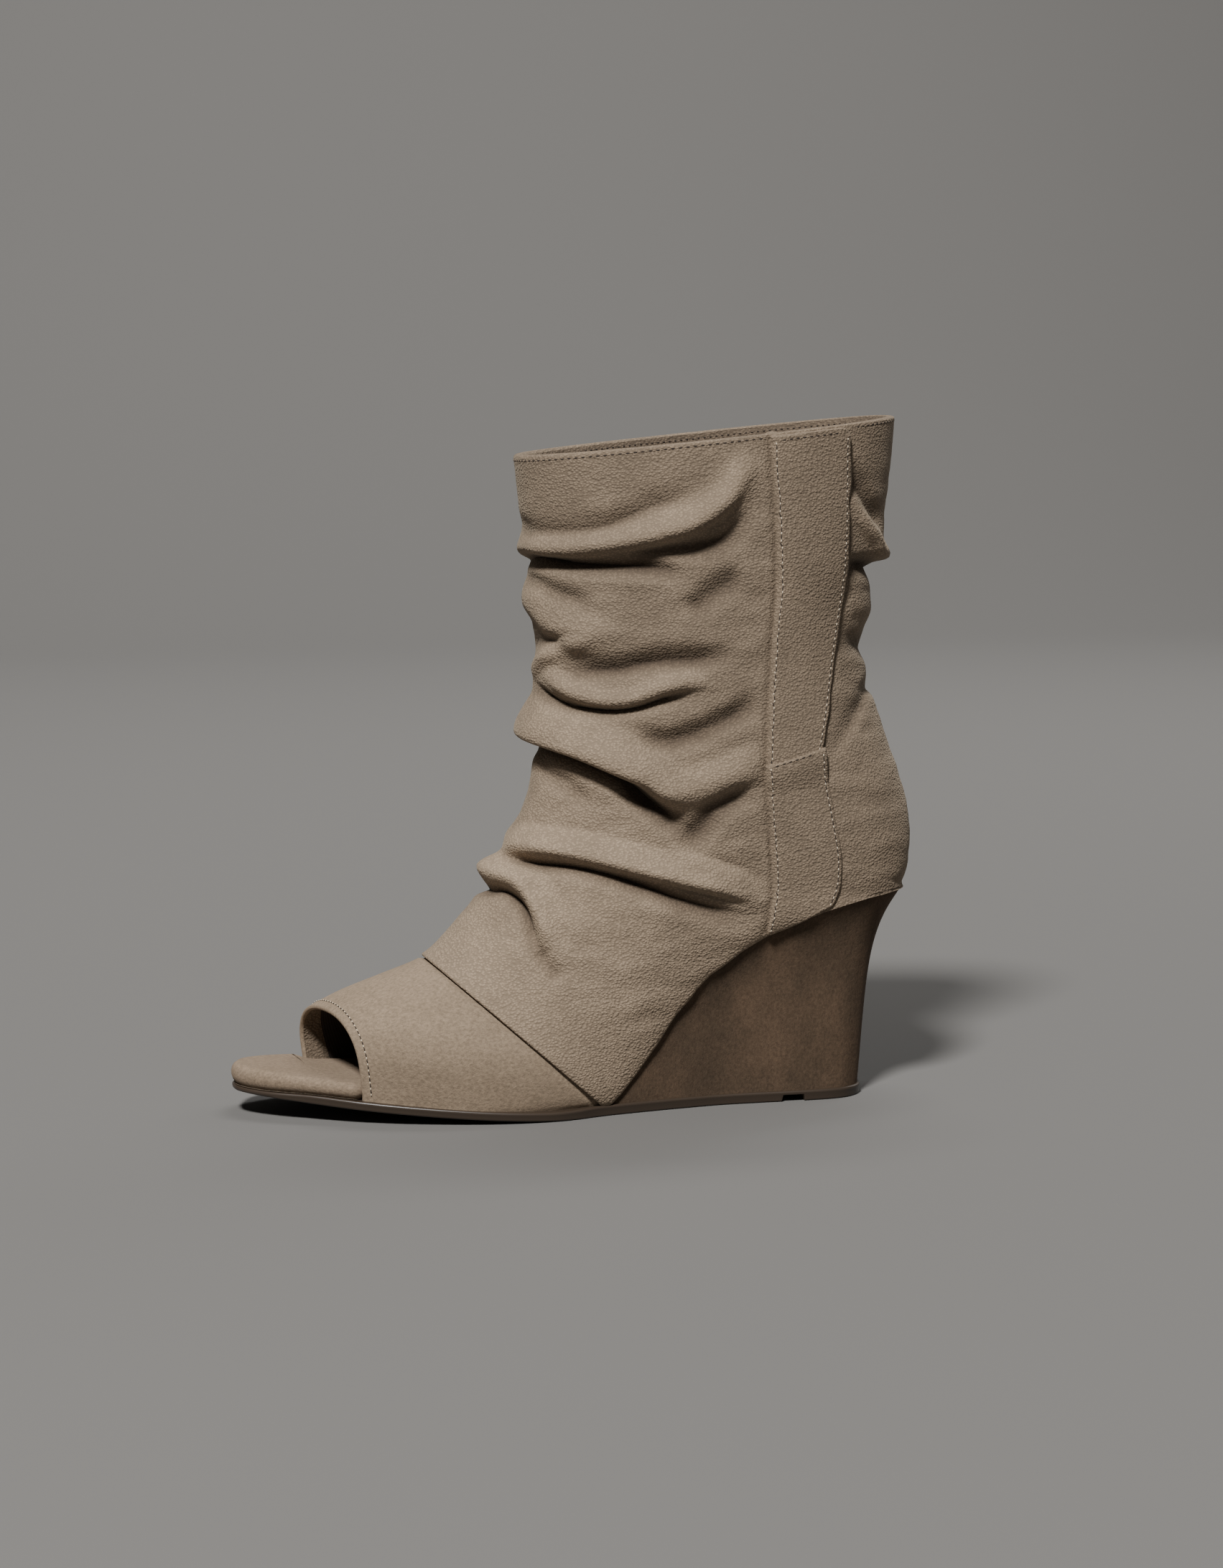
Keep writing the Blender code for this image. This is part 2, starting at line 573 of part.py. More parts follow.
def stations(front, back, tip_step, step):
    """Places along the foot, close together at both ends."""
    count = int(round((back - front) / step))
    inside = [front + (back - front) * place / count for place in range(1, count)]
    near = [tip_step, 3 * tip_step, 6 * tip_step]
    inside = [x for x in inside if front + near[-1] + tip_step < x < back - near[-1] - tip_step]
    return [front] + [front + d for d in near] + inside + [back - d for d in reversed(near)] + [back]


def edge_section(x, outer, inner, low, high, under_cut, top_round):
    """Cross-section with its edges broken, seen from the toe, from the low outer corner."""
    tall = high - low
    cut = min(under_cut, 0.3 * tall)
    soft = min(top_round, 0.45 * tall, 0.4 * (outer + inner))
    half = 0.3 * soft
    points = [(-outer + cut, low), (-outer, low + cut), (-outer, high - soft), (-outer + half, high - half),
              (-outer + soft, high)]
    points += [(inner - soft, high), (inner - half, high - half), (inner, high - soft), (inner, low + cut),
               (inner - cut, low)]
    return [(x, y, z) for y, z in points]


def outsole(finish):
    """Moulded sole: toe spring, flat from the ball back, one slot across its underside."""
    front = OUTLINE[0][0] * FOOT_LENGTH + TIP_FLAT
    back = OUTLINE[-1][0] * FOOT_LENGTH - TIP_FLAT
    slot = (SLOT_FRONT, SLOT_FRONT + SLOT_LENGTH)
    along = [x for x in stations(front, back, TIP_FLAT * 2, SOLE_STEP)
             if min(abs(x - wall) for wall in slot) > 0.001]
    reads = sorted([(x, slot[0] < x < slot[1]) for x in along]
                   + [(slot[0], False), (slot[0] + 1e-9, True), (slot[1] - 1e-9, True), (slot[1], False)])
    sections = []
    for x, cut in reads:
        outer, inner = sole_widths(x)
        low = SLOT_DEPTH if cut else spring(x)
        sections.append(edge_section(round(x, 6), outer, inner, low, sole_top(x), SOLE_BEVEL, SOLE_BEVEL))
    return tube_of_sections("outsole", sections, finish)


def seam_ends(side):
    """The upper's lower edge on one side, from the open toe to the back, as x and half-width."""
    ends = [ring(read, 4)[0 if side < 0 else -1] for read in places() if read <= CLOSED_ROW]
    return [end[0] for end in ends], [side * end[1] for end in ends]


def wedge_heel(finish):
    """Covered wedge: outline of the sole below, of the upper's edge above, hollow at the back."""
    chains = []
    for side, column in ((-1.0, 1), (1.0, 2)):
        xs, widths = seam_ends(side)
        start = int(np.searchsorted(xs, WEDGE_FRONT * FOOT_LENGTH))
        top = np.array([(x, y + LAP) for x, y in zip(xs[start:], widths[start:])])
        top[-1] = (xs[-1] + LAP, 0.0)
        shares = [row[0] for row in OUTLINE]
        first = np.interp(top[0, 0] / FOOT_LENGTH, shares, range(len(shares)))
        reads = np.linspace(first, len(OUTLINE) - 1, 80)
        low = np.array([(curve_through(shares, read) * FOOT_LENGTH - WEDGE_INSET,
                         curve_through([row[column] for row in OUTLINE], read) * BALL_WIDTH)
                        for read in reads])
        lengths = []
        for line in (low, top):
            steps = np.linalg.norm(np.diff(line, axis=0), axis=1)
            lengths.append(np.concatenate([[0.0], np.cumsum(steps)]))
        read = lengths[1] / lengths[1][-1] * lengths[0][-1]
        x = np.interp(read, lengths[0], low[:, 0])
        y = np.clip(np.interp(read, lengths[0], low[:, 1]) - WEDGE_INSET, 0.0, None)
        x[0] = top[0, 0]
        chains.append([np.stack([line_x, side * line_y], axis=1)
                       for line_x, line_y in ((x, y), (top[:, 0], top[:, 1]))])
    verts = []
    for step in range(WEDGE_LEVELS + 1):
        rise = step / WEDGE_LEVELS
        flare = WEDGE_LEAN * rise + (1.0 - WEDGE_LEAN) * rise ** WEDGE_CURVE
        for low, top in chains:
            flat = low + (top - low) * flare
            floor = SOLE_WAIST + GAP
            high = np.array([seam_height(x) - GAP for x in top[:, 0]])
            z = floor + (high - floor) * rise
            verts += [(x, y, height) for (x, y), height in zip(flat, z)]
    count = len(chains[0][0])
    outer, inner = range(len(chains))

    def index(step, side, place):
        if place == count - 1:
            side = outer
        return (2 * step + side) * count + place

    faces = []
    for step in range(WEDGE_LEVELS):
        for place in range(count - 1):
            faces.append([index(step, outer, place), index(step, outer, place + 1),
                          index(step + 1, outer, place + 1), index(step + 1, outer, place)])
            faces.append([index(step + 1, inner, place), index(step + 1, inner, place + 1),
                          index(step, inner, place + 1), index(step, inner, place)])
        faces.append([index(step, inner, 0), index(step, outer, 0), index(step + 1, outer, 0),
                      index(step + 1, inner, 0)])
    top = WEDGE_LEVELS
    for place in range(count - 2):
        faces.append([index(0, outer, place), index(0, inner, place), index(0, inner, place + 1),
                      index(0, outer, place + 1)])
        faces.append([index(top, outer, place + 1), index(top, inner, place + 1), index(top, inner, place),
                      index(top, outer, place)])
    place = count - 2
    faces.append([index(0, outer, place), index(0, inner, place), index(0, outer, place + 1)])
    faces.append([index(top, outer, place + 1), index(top, inner, place), index(top, outer, place)])
    return add_object("wedge_heel", np.array(verts), faces, finish)


def insole(finish):
    """Footbed: thick and rounded at the open toe, thin under the heel, inside the upper."""
    front = OUTLINE[0][0] * FOOT_LENGTH + INSOLE_SETBACK
    edges = [seam_ends(side) for side in (-1.0, 1.0)]
    back = edges[0][0][-1] - WALL - GAP - TIP_FLAT
    sections = []
    narrows = [xs[0] - reach for xs, _ in edges for reach in RIM_REACH]
    along = [x for x in stations(front + TIP_FLAT, back, TIP_FLAT * 2, SOLE_STEP) if x < edges[0][0][0]]
    along = [x for x in along if min(abs(x - place) for place in narrows) > 0.001]
    along = sorted(along + narrows) + [x for x in edges[0][0] if x < back - 3 * TIP_FLAT] + [back]
    for x in along:
        halves = []
        for (xs, widths), bare in zip(edges, sole_widths(min(x - INSOLE_SETBACK, 0.0))):
            open_toe = bare - INSOLE_SETBACK
            inside = min(np.interp([x - WALL - GAP, x + WALL + GAP], xs, widths)) - WALL - INSOLE_ROOM
            hidden = blend(xs[0] - RIM_REACH[0], xs[0] - RIM_REACH[1], x)
            halves.append(open_toe + (inside - open_toe) * hidden)
        low = seam_height(x) + INSOLE_LIFT
        thick = INSOLE_TOE + (INSOLE_HEEL - INSOLE_TOE) * blend(*INSOLE_THINS, x / FOOT_LENGTH)
        sections.append(edge_section(x, halves[0], halves[1], low, low + thick, SOLE_BEVEL, INSOLE_ROUND))
    return tube_of_sections("insole", sections, finish)


def main():
    leather = material("taupe_nubuck", (0.195, 0.160, 0.122), 0.85)
    suede = material("brown_suede", (0.105, 0.072, 0.048), 0.90)
    moulded = material("brown_moulded_sole", (0.075, 0.046, 0.028), 0.45)
    outsole(moulded)
    wedge_heel(suede)
    insole(leather)
    upper(leather)
    overlay("zip_flap", FLAP_EDGES, 16, 6, leather)
    overlay("lower_tab", TAB_EDGES, 8, 5, leather)


main()
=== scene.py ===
"""Looks of a slouchy peep toe ankle boot in taupe suede, left foot, on a covered full wedge.

Metres, +Z up. The toe points to -X and the outer side of the foot is -Y.
"""
import math

import bpy
import numpy as np
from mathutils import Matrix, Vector, noise
from mathutils.bvhtree import BVHTree


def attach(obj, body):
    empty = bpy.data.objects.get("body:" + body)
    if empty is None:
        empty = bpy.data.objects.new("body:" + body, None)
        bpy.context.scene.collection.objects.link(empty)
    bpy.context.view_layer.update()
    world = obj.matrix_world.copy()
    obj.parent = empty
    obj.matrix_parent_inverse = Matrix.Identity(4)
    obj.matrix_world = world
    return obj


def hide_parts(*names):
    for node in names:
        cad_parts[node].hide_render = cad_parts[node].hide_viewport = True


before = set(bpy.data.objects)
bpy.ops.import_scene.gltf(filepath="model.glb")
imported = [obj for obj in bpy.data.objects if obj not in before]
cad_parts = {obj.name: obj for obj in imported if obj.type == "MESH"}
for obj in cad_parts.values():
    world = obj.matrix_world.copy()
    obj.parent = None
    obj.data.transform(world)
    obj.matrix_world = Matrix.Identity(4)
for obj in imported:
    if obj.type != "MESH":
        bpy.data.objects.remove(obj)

bl_info = {
    "name": "Slouchy Peep Toe Ankle Boot",
    "version": (1, 0, 0),
    "blender": (4, 5, 0),
    "location": "3D View > Sidebar > Boot",
    "description": "Builds the suede upper, zip flap, covered wedge, sole and stitching of the boot",
    "category": "Object",
}

MM = 0.001

# Sizes that every piece of the boot shares
FOOT_LENGTH = 0.2000      # origin to the tip of the sole
BOOT_HEIGHT = 0.2330      # floor to the back of the collar
HEEL_HEIGHT = 0.0720      # floor to the seam at the back of the heel
BALL_WIDTH = 0.0750       # sole across the ball
SHAFT_WIDTH = 0.0760      # shaft across the ankle and the collar
SHAFT_HEIGHT = BOOT_HEIGHT - HEEL_HEIGHT
WALL = 0.0018             # suede with its lining
LAP = 0.0008              # rear panels standing proud of the vamp
GAP = 0.0003              # between pieces that touch
GROOVE_DEPTH = 0.0006     # seam in front of the flap and the tab
TAB_OVER = 1.45           # height of the tab over the flap's end, in thicknesses
TAB_THINNED = 0.65        # and further down
SOLE_TOE = 0.0030         # outsole thickness at the toe
SOLE_WAIST = 0.0037       # outsole thickness under the wedge
TIP_THINNED = 0.0013      # outsole feathered at its tip
TOE_SPRING = 0.0082       # outsole lifted at the tip
SLOT_FRONT = -0.0145      # slot across the underside of the outsole
SLOT_BACK = -0.0067
SLOT_DEPTH = 0.0022
INSOLE_TOE = 0.0054       # padded footbed at the open toe
INSOLE_HEEL = 0.0030
WEDGE_FRONT = -0.384      # share of the foot's length where the wedge begins
WEDGE_LEAN = 0.35         # share of the wedge's flare that is even up its side
WEDGE_CURVE = 5.5         # how late the rest of the flare comes

# Sections of the upper, from the open toe to the collar. top_x, end_x: shares of
# the foot's length. top_z, end_z: levels, see level(); an end_z of None is on the
# seam. out, inn: widest half-width; end_out, end_in: half-width at the seam; both
# are shares of the ball's width, and of the shaft's width once the ring is closed.
# fat: where the ring is widest, from its end (0) to its top (1). crown, cup: how
# square the ring's top and end are. skew: slant across the foot.
SECTIONS = [
    # top_x   top_z  end_x   end_z  out    inn    end_out end_in fat   crown cup   skew
    (-0.8450, 0.497, -0.8270, None, 0.335, 0.330, 0.325, 0.322, 0.36, 2.30, 1.60, 0.24),
    (-0.8000, 0.566, -0.7300, None, 0.410, 0.415, 0.405, 0.410, 0.32, 2.20, 1.60, 0.12),
    (-0.7400, 0.634, -0.6050, None, 0.478, 0.470, 0.470, 0.462, 0.28, 2.10, 1.60, 0.04),
    (-0.6700, 0.717, -0.4000, None, 0.472, 0.452, 0.405, 0.385, 0.30, 2.05, 1.60, 0.00),
    (-0.6250, 0.833, -0.3400, None, 0.455, 0.425, 0.384, 0.356, 0.32, 2.00, 1.50, 0.00),
    (-0.5860, 0.958, -0.2800, None, 0.448, 0.420, 0.374, 0.344, 0.34, 2.00, 1.45, 0.00),
    (-0.5600, 1.031, -0.2000, None, 0.448, 0.425, 0.374, 0.344, 0.37, 2.00, 1.45, 0.00),
    (-0.5370, 1.084, -0.1000, None, 0.453, 0.440, 0.376, 0.358, 0.40, 2.00, 1.45, 0.00),
    (-0.5100, 1.143, 0.0100, None, 0.440, 0.435, 0.378, 0.374, 0.44, 2.00, 1.50, 0.00),
    (-0.4910, 1.199, 0.0950, None, 0.440, 0.435, 0.328, 0.328, 0.47, 2.00, 1.60, 0.00),
    (-0.4810, 1.242, 0.1430, None, 0.440, 0.435, 0.200, 0.200, 0.48, 2.00, 1.80, 0.00),
    (-0.4760, 1.283, 0.1610, None, 0.415, 0.415, 0.000, 0.000, 0.49, 2.05, 3.00, 0.00),
    (-0.4760, 1.329, 0.1760, 1.093, 0.438, 0.438, 0.000, 0.000, 0.50, 2.10, 2.70, 0.00),
    (-0.4785, 1.398, 0.1635, 1.205, 0.458, 0.458, 0.000, 0.000, 0.50, 2.10, 2.40, 0.00),
    (-0.4735, 1.478, 0.1260, 1.342, 0.464, 0.464, 0.000, 0.000, 0.50, 2.10, 2.20, 0.00),
    (-0.4760, 1.559, 0.0945, 1.478, 0.459, 0.459, 0.000, 0.000, 0.50, 2.15, 2.15, 0.00),
    (-0.4835, 1.640, 0.0945, 1.596, 0.464, 0.464, 0.000, 0.000, 0.50, 2.15, 2.15, 0.00),
    (-0.4860, 1.720, 0.1160, 1.714, 0.474, 0.474, 0.000, 0.000, 0.50, 2.20, 2.20, 0.00),
    (-0.4970, 1.814, 0.1320, 1.857, 0.486, 0.486, 0.000, 0.000, 0.50, 2.20, 2.20, 0.00),
    (-0.5070, 1.915, 0.1425, 2.000, 0.494, 0.494, 0.000, 0.000, 0.50, 2.25, 2.20, 0.00),
]
RIM_ROW = 0               # edge of the open toe
VAMP_ROW = 3              # seam between the vamp and the rear panels
CUP_ROW = 8               # from here back the rings follow the level slices of heel and shaft
CLOSED_ROW = 11           # from here up the rings close at the back
COLLAR_ROW = 19
FACING_ROW = 18.1         # the suede facing inside the collar ends here
COLLAR_STITCH_ROW = 18.93
FACING_STITCH_ROWS = (18.9, 18.7)
TOE_FACING_ROW = 0.5      # the suede facing inside the open toe ends here
CUP_CENTRE = -0.20        # share of the foot's length where heel and shaft are widest

# Seam between the upper and what it stands on: share of the foot's length, and
# height above the outsole as a share of the heel's rise
SEAM = [
    # x       rise
    (-0.385, 0.000),
    (-0.367, 0.048),
    (-0.340, 0.140),
    (-0.308, 0.262),
    (-0.269, 0.430),
    (-0.233, 0.553),
    (-0.209, 0.624),
    (-0.169, 0.707),
    (-0.129, 0.780),
    (-0.088, 0.838),
    (-0.050, 0.882),
    (-0.010, 0.923),
    (0.025, 0.949),
    (0.073, 0.977),
    (0.125, 0.994),
    (0.165, 1.000),
]

# Outline of the outsole: share of the foot's length from the origin, and half-width
# to the outer and the inner side as shares of the ball's width
OUTLINE = [
    # x       out    inn
    (-1.002, -0.070, 0.070),
    (-0.998, -0.010, 0.150),
    (-0.980, 0.060, 0.250),
    (-0.945, 0.145, 0.330),
    (-0.905, 0.213, 0.385),
    (-0.870, 0.267, 0.415),
    (-0.800, 0.353, 0.450),
    (-0.735, 0.415, 0.472),
    (-0.650, 0.470, 0.490),
    (-0.570, 0.498, 0.497),
    (-0.500, 0.496, 0.490),
    (-0.450, 0.470, 0.452),
    (-0.390, 0.415, 0.400),
    (-0.300, 0.360, 0.345),
    (-0.240, 0.330, 0.322),
    (-0.180, 0.306, 0.305),
    (-0.100, 0.300, 0.300),
    (-0.040, 0.300, 0.300),
    (0.020, 0.288, 0.288),
    (0.055, 0.252, 0.252),
    (0.080, 0.170, 0.170),
    (0.090, 0.000, 0.000),
]

# Folds and creases of the slouched upper. Each follows a line of (side, row) points.
# A side of -1 is the outer end of a ring or the back of the shaft, 0 its top or
# front, 1 the inner end; below -1 the line goes on round the back. height in
# millimetres, below 0 for a trough; above and below are the widths of the two flanks
# in millimetres; hang is how far the ridge sags over, in millimetres; sharp is from
# 0, a round roll, to 1, a pressed crease.
FOLDS = [
    # height above below hang sharp  line
    # under the collar
    (-1.3, 8, 3.5, 0.0, 0.35, ((-0.46, 18.32), (-0.42, 18.18), (-0.38, 18.05), (-0.32, 17.90), (-0.275, 17.74),
                               (-0.23, 17.58), (-0.165, 17.48), (-0.03, 17.42), (0.10, 17.40))),
    (2.8, 5, 6, 1.2, 0.1, ((-0.55, 18.75), (-0.53, 18.52), (-0.51, 18.30), (-0.48, 18.07), (-0.45, 17.89),
                           (-0.41, 17.69), (-0.36, 17.57), (-0.30, 17.44), (-0.24, 17.34), (-0.16, 17.27),
                           (-0.08, 17.23), (0.00, 17.20), (0.08, 17.15))),
    (1.1, 10, 9, 0.3, 0.0, ((-0.57, 18.80), (-0.53, 18.40), (-0.49, 18.05), (-0.44, 17.80), (-0.37, 17.60),
                           (-0.29, 17.45))),
    (-3.4, 4.5, 6, 0.0, 0.4, ((-0.43, 16.60), (-0.39, 16.66), (-0.35, 16.73), (-0.30, 16.77), (-0.24, 16.78),
                              (-0.16, 16.80), (-0.05, 16.92), (0.10, 16.85))),
    (-2.0, 4, 8, 0.0, 0.2, ((-0.535, 17.92), (-0.525, 17.71), (-0.505, 17.51), (-0.48, 17.36), (-0.45, 17.26),
                            (-0.41, 17.21), (-0.37, 17.19), (-0.32, 17.11), (-0.26, 17.06))),
    (-1.5, 7, 8, 0.0, 0.1, ((-0.545, 16.60), (-0.50, 16.46), (-0.465, 16.20), (-0.44, 15.97), (-0.41, 15.70))),
    # middle of the shaft
    (1.8, 9, 9, 0.6, 0.0, ((-0.30, 15.30), (-0.22, 15.17), (-0.165, 15.20), (-0.08, 15.40), (-0.015, 15.72),
                           (0.10, 15.85), (0.24, 15.90))),
    (-1.0, 5, 5, 0.0, 0.1, ((-0.22, 15.76), (-0.14, 16.00), (-0.04, 16.22), (0.06, 16.30))),
    (-1.3, 5, 6, 0.0, 0.3, ((-0.15, 14.85), (-0.105, 14.80), (-0.055, 14.77), (0.00, 14.70), (0.08, 14.60))),
    (1.6, 4.5, 5.5, 0.5, 0.0, ((-0.22, 14.95), (-0.165, 14.86), (-0.105, 14.67), (-0.04, 14.31), (0.00, 14.05),
                               (0.05, 13.90))),
    (-2.4, 7, 5.5, 0.0, 0.25, ((-0.54, 15.00), (-0.49, 14.92), (-0.43, 14.80), (-0.36, 14.70), (-0.305, 14.56),
                               (-0.245, 14.34), (-0.19, 14.22), (-0.14, 14.16), (-0.09, 14.12))),
    (1.8, 5, 4, 0.8, 0.1, ((-0.50, 14.45), (-0.47, 14.39), (-0.40, 14.34), (-0.35, 14.18), (-0.30, 13.91),
                           (-0.255, 13.69), (-0.20, 13.60), (-0.14, 13.64), (-0.07, 13.86), (-0.01, 14.00))),
    (-2.4, 3, 5, 0.0, 0.5, ((-0.44, 14.10), (-0.41, 14.06), (-0.365, 13.97), (-0.325, 13.81), (-0.285, 13.61),
                            (-0.24, 13.44), (-0.19, 13.33), (-0.14, 13.27), (-0.09, 13.31), (-0.025, 13.50),
                            (0.04, 13.60))),
    (-2.2, 6.5, 7, 0.0, 0.2, ((-0.57, 14.35), (-0.555, 14.25), (-0.515, 13.93), (-0.475, 13.66), (-0.435, 13.44),
                              (-0.39, 13.21), (-0.34, 12.99), (-0.30, 12.88), (-0.25, 12.80))),
    # the big bulge over the ankle and the crease under it
    (4.6, 12, 6, 2.6, 0.0, ((-0.40, 11.35), (-0.365, 11.52), (-0.335, 11.70), (-0.285, 11.96), (-0.21, 12.18),
                            (-0.135, 12.33), (-0.05, 12.39), (0.06, 12.50), (0.20, 12.60), (0.30, 12.60))),
    (2.0, 9, 9, 0.6, 0.0, ((-0.56, 13.10), (-0.51, 12.78), (-0.44, 12.32), (-0.37, 11.85), (-0.33, 11.72),
                           (-0.28, 11.90))),
    (-3.8, 3.5, 7, 0.0, 0.5, ((-0.40, 9.95), (-0.37, 10.22), (-0.34, 10.59), (-0.285, 11.00), (-0.235, 11.36),
                              (-0.19, 11.64), (-0.13, 11.79), (-0.04, 11.76), (0.08, 11.75))),
    (-2.0, 6, 8, 0.0, 0.1, ((-0.42, 9.90), (-0.38, 10.20), (-0.33, 10.60), (-0.27, 11.00), (-0.22, 11.30))),
    (-2.0, 7, 8, 0.0, 0.1, ((-0.52, 12.40), (-0.50, 12.25), (-0.45, 11.75), (-0.42, 11.24), (-0.44, 10.14),
                            (-0.44, 9.32), (-0.43, 8.90))),
    (-0.9, 5, 6, 0.0, 0.0, ((-0.21, 9.65), (-0.20, 9.74), (-0.145, 10.18), (-0.10, 10.48), (-0.035, 10.76),
                                (0.00, 10.85))),
    # the long roll from the instep to the tab
    (3.6, 8, 5, 1.8, 0.1, ((-0.90, 7.42), (-0.83, 7.62), (-0.75, 7.82), (-0.65, 7.93), (-0.54, 7.93),
                           (-0.44, 7.92), (-0.335, 7.90), (-0.235, 7.83), (-0.11, 7.59), (0.00, 7.45),
                           (0.06, 7.40))),
    (-3.2, 3, 8, 0.0, 0.45, ((-0.90, 7.20), (-0.84, 7.22), (-0.75, 7.25), (-0.63, 7.29), (-0.50, 7.42),
                             (-0.375, 7.52), (-0.27, 7.48), (-0.19, 7.31), (-0.10, 7.06), (0.00, 6.90),
                             (0.06, 6.85))),
    (0.7, 3, 3.5, 0.0, 0.0, ((-0.74, 8.05), (-0.69, 8.26), (-0.585, 8.48), (-0.49, 8.60), (-0.415, 8.82))),
    # the instep
    (3.6, 8, 6, 1.6, 0.1, ((-0.54, 4.85), (-0.47, 5.11), (-0.405, 5.40), (-0.345, 5.75), (-0.275, 6.14),
                           (-0.20, 6.43), (-0.13, 6.53), (-0.02, 6.45), (0.10, 6.45), (0.25, 6.20),
                           (0.40, 5.70), (0.52, 5.10))),
    (-2.8, 3, 6, 0.0, 0.5, ((-0.50, 4.62), (-0.44, 4.76), (-0.39, 4.96), (-0.34, 5.25), (-0.275, 5.63),
                            (-0.20, 5.89), (-0.12, 5.96), (-0.045, 5.75), (0.08, 5.70), (0.30, 5.35),
                            (0.54, 4.50))),
    (-1.0, 5, 5, 0.0, 0.1, ((-0.54, 4.52), (-0.485, 4.67), (-0.44, 4.78), (-0.39, 4.96))),
    (-0.9, 2.5, 4, 0.0, 0.2, ((-0.50, 5.30), (-0.48, 5.36), (-0.405, 5.69), (-0.325, 6.07), (-0.255, 6.42),
                              (-0.17, 6.88))),
    # behind the flap and across the back
    (2.4, 5, 5, 1.0, 0.1, ((-1.32, 17.40), (-1.10, 17.10), (-0.98, 17.05), (-0.90, 17.12), (-0.875, 17.27),
                           (-0.835, 17.50), (-0.80, 17.74), (-0.77, 17.90), (-0.74, 18.08))),
    (0.7, 12, 6.5, 1.0, 0.0, ((-1.34, 17.40), (-1.10, 17.15), (-0.95, 17.15), (-0.86, 17.30), (-0.82, 17.50))),
    (-1.6, 7, 5, 0.0, 0.2, ((-0.92, 17.45), (-0.855, 17.60), (-0.81, 17.90), (-0.775, 18.23), (-0.75, 18.45))),
    (-3.0, 5, 7, 0.0, 0.4, ((-1.28, 16.60), (-1.10, 16.60), (-0.95, 16.70), (-0.87, 16.80), (-0.815, 16.83),
                            (-0.78, 16.86), (-0.74, 16.92))),
    (1.2, 8, 7, 0.3, 0.0, ((-1.20, 15.90), (-1.00, 15.95), (-0.885, 16.03), (-0.85, 16.10), (-0.82, 15.97),
                           (-0.78, 15.85))),
    (-1.5, 7, 7, 0.0, 0.2, ((-1.24, 15.10), (-1.05, 15.15), (-0.92, 15.30), (-0.78, 15.40))),
    (-1.3, 8, 4, 0.0, 0.3, ((-1.30, 13.60), (-1.05, 14.50), (-0.92, 14.55), (-0.87, 14.40), (-0.81, 14.08),
                            (-0.76, 13.71), (-0.71, 13.32), (-0.68, 13.05))),
    # inner side
    (3.2, 9, 6, 1.6, 0.1, ((-0.05, 17.20), (0.10, 17.15), (0.28, 17.45), (0.45, 18.00), (0.60, 18.80))),
    (-2.6, 6, 8, 0.0, 0.4, ((0.02, 16.85), (0.15, 16.80), (0.30, 16.85), (0.45, 17.05), (0.62, 17.50))),
    (2.5, 13, 8, 1.5, 0.0, ((0.14, 15.85), (0.30, 16.05), (0.50, 16.15), (0.85, 15.60))),
    (-2.4, 8, 8, 0.0, 0.3, ((0.06, 14.60), (0.28, 15.05), (0.45, 15.20), (0.76, 14.90))),
    (2.2, 9, 6, 1.5, 0.1, ((0.02, 13.95), (0.15, 13.85), (0.28, 14.00), (0.45, 14.05), (0.76, 13.60))),
    (-2.0, 5, 7, 0.0, 0.4, ((0.00, 13.55), (0.20, 13.25), (0.40, 13.18), (0.66, 13.30))),
    (-3.0, 6, 8, 0.0, 0.4, ((0.00, 11.75), (0.20, 11.68), (0.40, 11.85), (0.62, 12.30))),
    (2.2, 10, 8, 1.5, 0.0, ((0.10, 9.40), (0.28, 9.80), (0.50, 9.90), (0.76, 9.60))),
    (2.7, 9, 7, 1.0, 0.0, ((-0.05, 7.50), (0.15, 7.75), (0.38, 8.10), (0.60, 8.30), (0.76, 8.40))),
    (-2.2, 5, 7, 0.0, 0.4, ((0.00, 6.90), (0.10, 6.90), (0.25, 7.05), (0.40, 7.30), (0.70, 7.70))),
]

SLOUCH = 1.35             # how deep all folds are, as a factor

# Edges of the zip flap and of the tab below it, seen square on from the outer side,
# from top to bottom: x as shares of the foot's length, z as levels
FLAP_EDGES = [
    # front x  z      rear x  z
    (-0.1215, 1.9640, 0.0240, 1.9830),
    (-0.1140, 1.857, 0.0245, 1.863),
    (-0.1090, 1.767, 0.0260, 1.764),
    (-0.1055, 1.655, 0.0215, 1.652),
    (-0.1105, 1.575, 0.0115, 1.568),
    (-0.1150, 1.484, 0.0010, 1.478),
    (-0.1195, 1.382, -0.0095, 1.391),
    (-0.1215, 1.272, -0.0240, 1.304),
]
TAB_EDGES = [
    # front x  z      rear x  z
    (-0.1235, 1.283, -0.0190, 1.316),
    (-0.1190, 1.217, -0.0100, 1.240),
    (-0.1140, 1.155, 0.0035, 1.163),
    (-0.1070, 1.078, 0.0155, 1.087),
    (-0.1050, 1.010, 0.0160, 1.022),
    (-0.1150, 0.822, 0.0010, 0.947),
]


